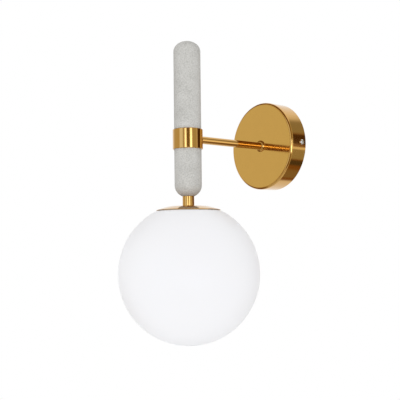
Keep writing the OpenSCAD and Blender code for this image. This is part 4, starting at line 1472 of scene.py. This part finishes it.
@dataclass
class Shade:
    """Cap, glass holder, gasket, and the opal globe that screws on under them."""

    fasteners: Fasteners
    flat_radius: float = 26.0
    crown_radius: float = 120.0
    cap_wall: float = 0.8
    lip: float = 0.6
    glass: float = 3.0
    mouth: float = 36.5
    neck_depth: float = 10.5
    neck_wall: float = 2.8
    lip_radius: float = 42.0
    fire_polish: float = 1.3
    fold_gap: float = 1.6
    glass_pitch: float = 4.0
    holder_wall: float = 1.8
    holder_top: float = 1.6
    holder_edge: float = 0.4
    globe_segments: int = 160

    def build(self) -> None:
        """Builds and dresses the cap and all that hangs under it."""
        self.cap()
        self.holder()
        self.fasteners.clamp("cap", ROD_HOLE, ON_COLUMN)
        self.gasket()
        self.globe()

    def crown(self, r: float, depth: float) -> float:
        """Height of the cap's curve, or of a curve at a depth below it.

        Args:
            r: Distance from the axis.
            depth: Depth below the cap's outside.

        Returns:
            The height in the shared frame.
        """
        box = Extent.of("cap")
        drop, width = box.high.z - box.low.z - self.lip, box.radius - self.flat_radius
        chord = math.hypot(width, drop)
        rise = math.sqrt(self.crown_radius ** 2 - (chord / 2) ** 2)
        x = (self.flat_radius + box.radius) / 2 - drop / chord * rise
        z = -drop / 2 - width / chord * rise
        return box.high.z + z + math.sqrt((self.crown_radius - depth) ** 2 - (r - x) ** 2)

    def crown_line(self, start: float, end: float, depth: float, steps: int = 12) -> Outline:
        """Points of the crown between two radii.

        Args:
            start: First radius.
            end: Last radius.
            depth: Depth below the cap's outside.
            steps: Number of chords.

        Returns:
            The points.
        """
        radii = [start + (end - start) * i / steps for i in range(steps + 1)]
        return [(r, self.crown(r, depth)) for r in radii]

    def cap(self) -> None:
        """Spun cap: flat top, shallow crown and a short straight lip."""
        box = Extent.of("cap")
        r, low, top = box.radius, box.low.z, box.high.z
        rim, under = r - self.cap_wall, top - self.cap_wall
        inner = self.flat_radius - self.cap_wall / 4
        outline = [(ROD_HOLE, under), (ROD_HOLE, top), (self.flat_radius - 0.4, top)]
        outline += self.crown_line(self.flat_radius, r - 0.25, 0)
        outline += [(r - 0.07, self.crown(r, 0) - 0.08), (r, low + 0.35), (r - 0.1, low + 0.06),
                    (r - 0.3, low), (rim + 0.2, low), (rim, low + 0.15)]
        outline += self.crown_line(rim, inner, self.cap_wall) + [(inner - 0.5, under)]
        turned("cap", "spun", outline, 192, ON_COLUMN, POLISHED_BRASS)

    def holder(self) -> None:
        """Turned aluminium ring with a coarse thread for the glass."""
        box, edge, rows = Extent.of("glass_holder"), self.holder_edge, 40
        r, foot, top = box.radius, box.low.z, box.high.z
        shoulder = self.crown(r, self.cap_wall) - 0.3
        inner, flat = r - self.holder_wall, self.flat_radius - 1
        slope, under = shoulder - self.holder_top, top - self.holder_top
        side = [(r, foot + edge + (shoulder - foot - 2 * edge) * k / rows) for k in range(rows + 1)]
        outline = [(ROD_HOLE, under), (flat - 1, under), (inner, slope), (inner, foot + 0.3),
                   (inner + 0.3, foot), (r - edge, foot)]
        outline += side + [(r - edge, shoulder), (flat, top), (ROD_HOLE, top)]
        piece = lathe("glass_holder_turned", outline, 120)
        self.fasteners.thread.run(piece, Pitch=self.glass_pitch, Depth=0.9, Low=foot - 1, High=shoulder - 2,
                                  Lead=2, Inner_Radius=r - 0.1, Outer_Radius=r + 0.1, Cut=0.0)
        fit(finish_mesh(piece, ON_COLUMN), ALUMINIUM, "glass_holder")

    def gasket(self) -> None:
        """Silicone wedge between the cap's underside and the glass."""
        box = Extent.of("gasket")
        inner, outer, low = self.mouth + 0.4, box.radius, box.low.z
        top = [(r, z - CLEAR) for r, z in self.crown_line(outer - 0.15, inner + 0.15, self.cap_wall, 6)]
        outline = [(inner, low + 0.1), (inner + 0.1, low), (outer - 0.1, low), (outer, low + 0.1)] + top
        turned("gasket", "moulded", outline, 120, ON_COLUMN, SILICONE)

    def globe(self) -> None:
        """Blown globe with a fire-polished lip and its mouth folded down into a threaded neck."""
        box, mouth, rows = Extent.of("globe"), self.mouth, 30
        r, low, top = box.radius, box.low.z, box.high.z
        centre, inner_r = (0.0, low + r), r - self.glass
        neck, neck_foot = mouth + self.neck_wall, top - self.neck_depth
        meet_r = neck + self.fold_gap
        outside = arc(centre, r, -90, math.degrees(math.asin((top - centre[1]) / r)) - 1.2, 110)
        lip = rounded([outside[-1], (self.lip_radius - 0.2, top, self.fire_polish),
                       (mouth, top, self.fire_polish), (mouth, top - 2)], 6)[1:-1]
        bore = [(mouth, top - 1.5 - (self.neck_depth - 3) * k / rows) for k in range(rows + 1)]
        foot = rounded([(mouth, neck_foot + 2), (mouth, neck_foot, 1.35), (neck, neck_foot, 1.35),
                        (neck, neck_foot + 2)], 6)[1:-1]
        join_z = centre[1] + math.sqrt(inner_r ** 2 - meet_r ** 2)
        fold = [(neck, join_z - 1.9), (neck + 0.25, join_z - 0.9), (neck + 0.8, join_z - 0.3)]
        inside = arc(centre, inner_r, math.degrees(math.acos(meet_r / inner_r)), -90, 100)
        outline = outside + lip + bore + foot + fold + inside
        outline[0], outline[-1] = (0.0, low), (0.0, low + self.glass)
        piece = lathe("globe_blown", outline, self.globe_segments)
        self.fasteners.thread.run(piece, Pitch=self.glass_pitch, Depth=0.4, Low=neck_foot, High=top, Lead=3,
                                  Inner_Radius=mouth - 0.05, Outer_Radius=mouth + 0.05, Cut=0.0)
        fit(finish_mesh(piece, ON_COLUMN), OPAL_GLASS, "globe")


# Pitch of the thread that the bulb's base and the brass shell share
BASE_PITCH = 3.629


@dataclass
class Lampholder:
    """Steel cup, porcelain body, screw shell, contact and terminal screws."""

    fasteners: Fasteners
    cup_wall: float = 1.0
    cup_edge: float = 2.0
    boss: float = 8.0
    boss_depth: float = 3.5
    socket: float = 14.05
    floor: float = 8.0
    groove_z: float = 8.0
    groove: float = 0.7
    shell_bore: float = 13.15
    shell_wall: float = 0.5
    shell_flange: float = 10.2

    def build(self) -> None:
        """Builds and dresses the lampholder."""
        self.cup()
        self.body()
        self.shell()
        box, kind = Extent.of("holder_screws"), HOLDER_SCREW
        seat = box.high.z - kind.height
        spots = [(Vector((x, box.middle.y, seat)), Vector((0, 0, 1)))
                 for x in (box.low.x + kind.head, box.high.x - kind.head)]
        self.fasteners.screws("holder_screws", spots, kind, CONTACT_BRASS, seat - box.low.z, 13)
        ease_node("centre_contact", "sprung", 0.15, CONTACT_BRASS)

    def cup(self) -> None:
        """Pressed steel cup with a boss for the rod."""
        box, wall = Extent.of("holder_cup"), self.cup_wall
        r, low, top = box.radius, box.low.z, box.high.z
        under, boss_foot = top - wall, top - wall - self.boss_depth
        outline = rounded([
            (ROD_HOLE, top, 0.2), (r, top, self.cup_edge), (r, low, 0.2), (r - wall, low, 0.2),
            (r - wall, under, self.cup_edge - wall), (self.boss, under, 0.3),
            (self.boss, boss_foot, 0.3), (ROD_HOLE, boss_foot, 0.3)], 5)
        turned("holder_cup", "pressed", braced(outline), 96, ON_COLUMN, ZINC_STEEL)

    def body(self) -> None:
        """Glazed porcelain body with a shallow groove round it."""
        box, cup = Extent.of("holder_body"), Extent.of("holder_cup")
        r, low, top, cup_foot = box.radius, box.low.z, box.high.z, cup.low.z
        spigot, socket_top = cup.radius - self.cup_wall - 0.4, top - self.floor
        waist, start = r - self.groove, low + self.groove_z
        outline = rounded([
            (self.socket, socket_top, 0.6), (self.socket, low, 1.0), (r, low, 1.6), (r, start, 0.4),
            (waist, start + 0.8, 0.5), (waist, start + 2.4, 0.5), (r, start + 3.2, 0.4), (r, cup_foot, 1.8),
            (spigot, cup_foot, 0.3), (spigot, top, 0.5), (0.0, top), (0.0, socket_top)], 5)
        turned("holder_body", "fired", braced(outline), 96, ON_COLUMN, PORCELAIN)

    def shell(self) -> None:
        """Brass shell with its rolled thread."""
        box = Extent.of("screw_shell")
        low, top, lip = box.low.z, box.high.z, box.high.z - self.shell_wall
        bore, r = self.shell_bore, self.shell_bore + self.shell_wall
        outline = rolled_wall(bore, r, low, lip, 48)
        outline += [(r, top - 0.3), (r - 0.3, top), (self.shell_flange, top), (self.shell_flange, lip),
                    (bore, lip - 0.05)]
        piece = lathe("screw_shell_rolled", outline, 96)
        self.fasteners.thread.run(piece, Pitch=BASE_PITCH, Depth=0.05, Low=low, High=top - 1, Lead=1.2,
                                  Inner_Radius=bore - 0.1, Outer_Radius=r + 0.1, Cut=0.0)
        fit(finish_mesh(piece, ON_COLUMN), CONTACT_BRASS, "screw_shell")


def rolled_wall(inner: float, outer: float, low: float, high: float, rows: int) -> Outline:
    """Both faces of a thin wall, from its upper inside down and up its outside.

    Args:
        inner: Inner radius.
        outer: Outer radius.
        low: Lower edge.
        high: Upper end.
        rows: Number of rows on each face.

    Returns:
        The open outline.
    """
    heights = [low + (high - low) * k / rows for k in range(rows + 1)]
    return [(inner, z) for z in reversed(heights)] + [(outer, z) for z in heights]


@dataclass
class Bulb:
    """Light bulb with a screw base, a flared housing and a frosted dome."""

    fasteners: Fasteners
    base_wall: float = 0.4
    thread_depth: float = 0.9
    base_throat: float = 9.6
    insulator_top: float = 5.4
    housing_wall: float = 1.4
    shoulder_step: float = 1.2
    dome_wall: float = 1.2
    chips: int = 12
    chip_ring: float = 15.0
    chip_diagonal: float = 4.0
    chip_height: float = 0.6
    chip_dome: float = 0.2

    def build(self) -> None:
        """Builds and dresses the bulb from its tip down."""
        self.tip()
        self.base()
        self.housing()
        self.board()
        self.dome()

    def tip(self) -> None:
        """Drop of solder, and the black glass round it."""
        tip, glass, chords = Extent.of("bulb_contact"), Extent.of("bulb_insulator"), 8
        r, low, top = tip.radius, tip.low.z, tip.high.z
        outline = [(0.0, low), (r - 0.2, low), (r, low + 0.3)]
        outline += [(r * math.cos(a), top - (top - low - 0.6) * (1 - math.sin(a)))
                    for a in (math.pi / 2 * k / chords for k in range(chords + 1))]
        outline[-1] = (0.0, top)
        fit(finish_mesh(lathe("bulb_tip_soldered", outline, 48), ON_COLUMN), CHROME, "bulb_contact")
        outline = rounded([(0.0, glass.low.z), (glass.radius, glass.low.z, 0.2),
                           (self.insulator_top, glass.high.z, 0.5), (0.0, glass.high.z)])
        turned("bulb_insulator", "fused", outline, 72, ON_COLUMN, BLACK_GLASS)

    def base(self) -> None:
        """Rolled screw base."""
        box, wall = Extent.of("bulb_base"), self.base_wall
        r, low, top = box.radius, box.low.z, box.high.z
        outline = rolled_wall(r - wall, r, low, top - 2.4, 60)
        outline += [(r - 0.4, top - 1.4), (r - 1.5, top - 0.5), (self.base_throat, top),
                    (self.base_throat, top - 0.7), (r - 1.5 - wall, top - 1.0), (r - wall - 0.4, top - 1.8)]
        piece = lathe("bulb_base_rolled", outline, 96)
        self.fasteners.thread.run(piece, Pitch=BASE_PITCH, Depth=self.thread_depth, Low=low + 1.5,
                                  High=top - 2, Lead=1.5, Inner_Radius=r - wall - 0.1, Outer_Radius=r + 0.1,
                                  Cut=0.0)
        fit(finish_mesh(piece, ON_COLUMN), CHROME, "bulb_base")

    def housing(self) -> None:
        """Flared housing."""
        box, base, wall, steps = Extent.of("bulb_housing"), Extent.of("bulb_base"), self.housing_wall, 24
        seam_z, top, end = box.low.z, base.low.z, box.high.z
        seam, head = box.radius, base.radius + self.shoulder_step
        flare = [(head + (seam - head) * (1 - math.cos(math.pi * k / steps)) / 2,
                  top - (top - seam_z) * k / steps) for k in range(steps + 1)]
        spigot = base.radius - self.base_wall - CLEAR
        outline = [(spigot, end), (spigot, top + 0.05), (head - 0.2, top), *flare[1:-1],
                   (seam, seam_z + 0.3), (seam - 0.3, seam_z)]
        outline += [(r - wall, z) for r, z in reversed(flare)] + [(spigot - 1, top - 1), (spigot - 1, end)]
        turned("bulb_housing", "moulded", outline, 128, ON_COLUMN, BULB_WHITE)

    def board(self) -> None:
        """Board with its ring of light sources."""
        box, ring = Extent.of("bulb_board"), self.chip_ring
        outline = rounded([(0.0, box.low.z), (box.radius, box.low.z, 0.15), (box.radius, box.high.z, 0.15),
                           (0.0, box.high.z)], 3)
        turned("bulb_board", "printed", outline, 96, ON_COLUMN, SOLDER_MASK)
        turns = [math.tau * k / self.chips for k in range(self.chips)]
        spots = [(Vector((ring * math.cos(a), ring * math.sin(a), box.low.z)), Vector((0, 0, -1)))
                 for a in turns]
        chips = at_points("bulb_light_sources", spots)
        chip_tree(self.fasteners.bar).run(chips, Half_Diagonal=self.chip_diagonal / 2, Dome=self.chip_dome,
                                          Height=self.chip_height, Material=PHOSPHOR.material())
        fit(finish_mesh(chips, ON_COLUMN, CRISP_ANGLE), PHOSPHOR, "bulb_board")

    def dome(self) -> None:
        """Frosted dome, open at the seam."""
        box, chords = Extent.of("bulb_dome"), 60
        r, low, top = box.radius, box.low.z, box.high.z
        centre, inner = (0.0, low + r), r - self.dome_wall
        outer_turn, inner_turn = (math.degrees(math.asin((top - centre[1]) / size)) for size in (r, inner))
        outline = arc(centre, r, -90, outer_turn, chords) + arc(centre, inner, inner_turn, -90, chords)
        outline[0], outline[-1] = (0.0, low), (0.0, low + self.dome_wall)
        turned("bulb_dome", "frosted", outline, 128, ON_COLUMN, FROSTED)


# Camera, light and floor

def towards(azimuth: float, elevation: float) -> Vector:
    """Direction from the object at an azimuth and an elevation in degrees."""
    a, e = math.radians(azimuth), math.radians(elevation)
    return Vector((math.sin(a) * math.cos(e), -math.cos(a) * math.cos(e), math.sin(e)))


@dataclass(frozen=True)
class Viewpoint:
    """The photograph's camera, from the fit to the object's outlines."""

    azimuth: float = 52.62
    elevation: float = -3.32
    roll: float = -0.67
    distance: float = 809.49
    target: tuple[float, float, float] = (24.46, -154.0, -80.44)
    lens: float = 58.20
    sensor: float = 36.0

    def build(self) -> None:
        """Makes the camera and gives it to the scene."""
        data = bpy.data.cameras.new("photo_camera")
        data.lens, data.sensor_width = self.lens, self.sensor
        data.clip_start, data.clip_end = 0.01, 50
        camera = new_object("photo_camera", data)
        back = towards(self.azimuth, self.elevation)
        right = Vector((0, 0, 1)).cross(back).normalized()
        up = back.cross(right)
        turn = math.radians(self.roll)
        side = right * math.cos(turn) + up * math.sin(turn)
        top = up * math.cos(turn) - right * math.sin(turn)
        spot = (Vector(self.target) + back * self.distance) * MM
        axes = Matrix((side, top, back)).transposed().to_4x4()
        camera.matrix_world = Matrix.Translation(spot) @ axes
        bpy.context.scene.camera = camera


COOL, WARM, TAN, BROWN = "#D6E4FF", "#FFF7D8", "#FFE0A8", "#FFB75C"


@dataclass(frozen=True)
class Panel:
    """Part of the studio that polished metal mirrors: a soft box, a flag or a bare wall."""

    azimuth: float
    width: float
    elevation: float
    height: float
    level: float
    edge: float = 6.0
    colour: str = "#FFFFFF"


@dataclass(frozen=True)
class Studio:
    """Plain soft studio: white to the camera, with soft boxes and dark flags for the metal."""

    diffuse: float = 0.735
    lamp_share: float = 0.33
    lamp_size: float = 1.4
    lamp_distance: float = 1.9
    lamp_azimuth: float = 50.0
    lamp_elevation: float = -4.0
    ground: float = 0.9
    horizon: float = 1.0
    zenith: float = 1.05
    floor_z: float = -0.55
    floor_radius: float = 0.6
    floor_glow: float = 0.2
    panels: tuple[Panel, ...] = (
        Panel(-42, 62, 0, 110, 0.68, 12, WARM),
        Panel(56, 84, 3, 110, 0.42, 12, TAN),
        Panel(3, 26, 5, 60, 1.5, 8, COOL),
        Panel(21, 8, 5, 60, 0.6, 4),
        Panel(37, 14, 4, 14, 3.5, 5, COOL),
        Panel(55.5, 16, 3, 80, 0.25, 5, TAN),
        Panel(79, 16, 4, 14, 4.0, 5, COOL),
        Panel(-75, 50, 36, 30, 0.2, 8, BROWN),
        Panel(-72, 56, -28, 34, 0.2, 8, BROWN),
        Panel(-5, 190, 66, 52, 0.2, 8, BROWN),
        Panel(-5, 190, -62, 60, 0.2, 8, BROWN),
        Panel(50, 14, -2, 8, 6.0, 3),
        Panel(66, 22, -9, 14, 6.0, 4, COOL),
        Panel(108, 38, 3, 100, 0.57, 8, WARM),
        Panel(163, 62, -6, 92, 0.26, 10, BROWN),
        Panel(158, 50, 33, 20, 0.37, 8, WARM),
        Panel(152, 36, 12, 18, 0.09, 4, BROWN),
        Panel(152, 36, -15, 18, 0.42, 4, WARM),
        Panel(156, 36, -30, 8, 0.1, 4, TAN),
        Panel(163, 40, -44, 8, 0.3, 4, TAN),
        Panel(128, 10, -7, 22, 1.4, 4),
        Panel(143, 18, -4, 4.5, 1.0, 2),
    )

    def build(self) -> None:
        """Makes the world, the lamp and the floor."""
        self.world()
        self.lamp()
        self.floor()

    def world(self) -> None:
        """World by kind of ray: white for the camera, even for matt faces, the studio for metal."""
        world = bpy.data.worlds.new("studio")
        world.use_nodes = True
        nodes = Nodes(world.node_tree)
        x, y, z = nodes.add(SPLIT, (nodes.add("ShaderNodeTexCoord"),)).outputs
        away = nodes.add(MATH, (y, -1.0), operation="MULTIPLY")
        turn = nodes.add(MATH, (x, away), operation="ARCTAN2")
        tilt = nodes.add(MATH, (z,), operation="ARCSINE")
        azimuth, elevation = (nodes.add(MATH, (angle,), operation="DEGREES") for angle in (turn, tilt))
        low = nodes.add(RANGE, (elevation, -60.0, -5.0, self.ground, self.horizon),
                        interpolation_type="SMOOTHSTEP")
        high = nodes.add(RANGE, (elevation, 5.0, 60.0, 0.0, 1.0), interpolation_type="SMOOTHSTEP")
        level = nodes.add(MIX, {"Factor": high, VALUE_A: low, VALUE_B: self.zenith}).outputs[0]
        for panel in self.panels:
            level = self.hang(nodes, panel, azimuth, elevation, level)
        rays = nodes.add("ShaderNodeLightPath").outputs
        seen = nodes.add(MATH, (rays["Is Camera Ray"], rays["Is Transmission Ray"]), operation="MAXIMUM")
        even = (self.diffuse,) * 3 + (1.0,)
        lit = nodes.add(MIX, {"Factor": rays["Is Glossy Ray"], COLOUR_A: even, COLOUR_B: level},
                        data_type="RGBA").outputs[COLOUR_OUT]
        shown = nodes.add(MIX, {"Factor": seen, COLOUR_A: lit, COLOUR_B: (1, 1, 1, 1)}, data_type="RGBA")
        nodes.fill(nodes.tree.nodes["Background"], {"Color": shown.outputs[COLOUR_OUT]})
        bpy.context.scene.world = world

    def hang(self, nodes: Nodes, panel: Panel, azimuth: bpy.types.Node, elevation: bpy.types.Node,
             level: bpy.types.NodeSocket) -> bpy.types.NodeSocket:
        """Hangs one panel in the studio.

        Args:
            nodes: The world's nodes.
            panel: The panel.
            azimuth: Node with the direction's azimuth in degrees.
            elevation: Node with its elevation in degrees.
            level: The light so far.

        Returns:
            The light with the panel's added.
        """
        shares = []
        for angle, middle, size in ((azimuth, panel.azimuth, panel.width),
                                    (elevation, panel.elevation, panel.height)):
            off = nodes.add(MATH, (angle, middle), operation="SUBTRACT")
            off = nodes.add(MATH, (off, 180.0, -180.0), operation="WRAP")
            off = nodes.add(MATH, (off,), operation="ABSOLUTE")
            shares.append(nodes.add(RANGE, (off, (size + panel.edge) / 2, (size - panel.edge) / 2),
                                    interpolation_type="SMOOTHSTEP"))
        share = nodes.add(MATH, tuple(shares), operation="MULTIPLY")
        light = (*(c * panel.level for c in linear(panel.colour)[:3]), 1.0)
        hung = nodes.add(MIX, {"Factor": share, COLOUR_A: level, COLOUR_B: light}, data_type="RGBA")
        return hung.outputs[COLOUR_OUT]

    def lamp(self) -> None:
        """One large soft lamp, which models the matt stone and the glass."""
        back = towards(self.lamp_azimuth, self.lamp_elevation)
        data = bpy.data.lights.new("soft_lamp", "AREA")
        data.shape, data.size = "DISK", self.lamp_size
        data.energy = self.lamp_share * (math.pi * self.lamp_distance) ** 2
        lamp = new_object("soft_lamp", data)
        middle = (CAD_BOX[0] + CAD_BOX[1]) / 2
        turn = back.to_track_quat("Z", "Y").to_matrix().to_4x4()
        lamp.matrix_world = Matrix.Translation(middle + back * self.lamp_distance) @ turn
        lamp.visible_glossy = False

    def floor(self) -> None:
        """Plain pale floor, which fades into the white round it."""
        work, middle = bmesh.new(), Vector((0, COLUMN_Y * MM, self.floor_z))
        bmesh.ops.create_circle(work, cap_ends=True, segments=64, radius=self.floor_radius,
                                matrix=Matrix.Translation(middle))
        mesh = bpy.data.meshes.new("floor")
        work.to_mesh(mesh)
        work.free()
        floor = new_object("floor", mesh)
        draft = Draft("pale_floor")
        camera_ray = draft.add("ShaderNodeLightPath").outputs["Is Camera Ray"]
        draft.set(Base_Color=linear("#F6F6F6"), Roughness=0.9, Specular_IOR_Level=0.0,
                  Emission_Color=(1, 1, 1, 1),
                  Emission_Strength=draft.add(MATH, (camera_ray, self.floor_glow), operation="MULTIPLY"))
        under = draft.add("ShaderNodeNewGeometry").outputs["Backfacing"]
        far = draft.add(VECTOR, (draft.place, middle), operation="DISTANCE").outputs["Value"]
        fade = draft.add(RANGE, (far, self.floor_radius * 0.3, self.floor_radius * 0.97),
                         interpolation_type="SMOOTHSTEP")
        unseen = draft.add(MATH, (under, fade), operation="MAXIMUM")
        mix = draft.add("ShaderNodeMixShader", (unseen, draft.shader, draft.add("ShaderNodeBsdfTransparent")))
        draft.fill(draft.tree.nodes["Material Output"], {"Surface": mix})
        mesh.materials.append(draft.made)


def main() -> None:
    """Builds camera, studio and all sub-assemblies in order."""
    logging.basicConfig(level=logging.INFO, format="%(name)s %(message)s")
    bpy.context.scene.view_settings.view_transform = "Standard"
    Viewpoint().build()
    Studio().build()
    fasteners = Fasteners()
    for part in (WallFitting(fasteners), Arm(fasteners), Column(fasteners), Shade(fasteners),
                 Lampholder(fasteners), Bulb(fasteners)):
        part.build()
        LOG.info("%s is built", type(part).__name__)


if __name__ == "__main__":
    main()
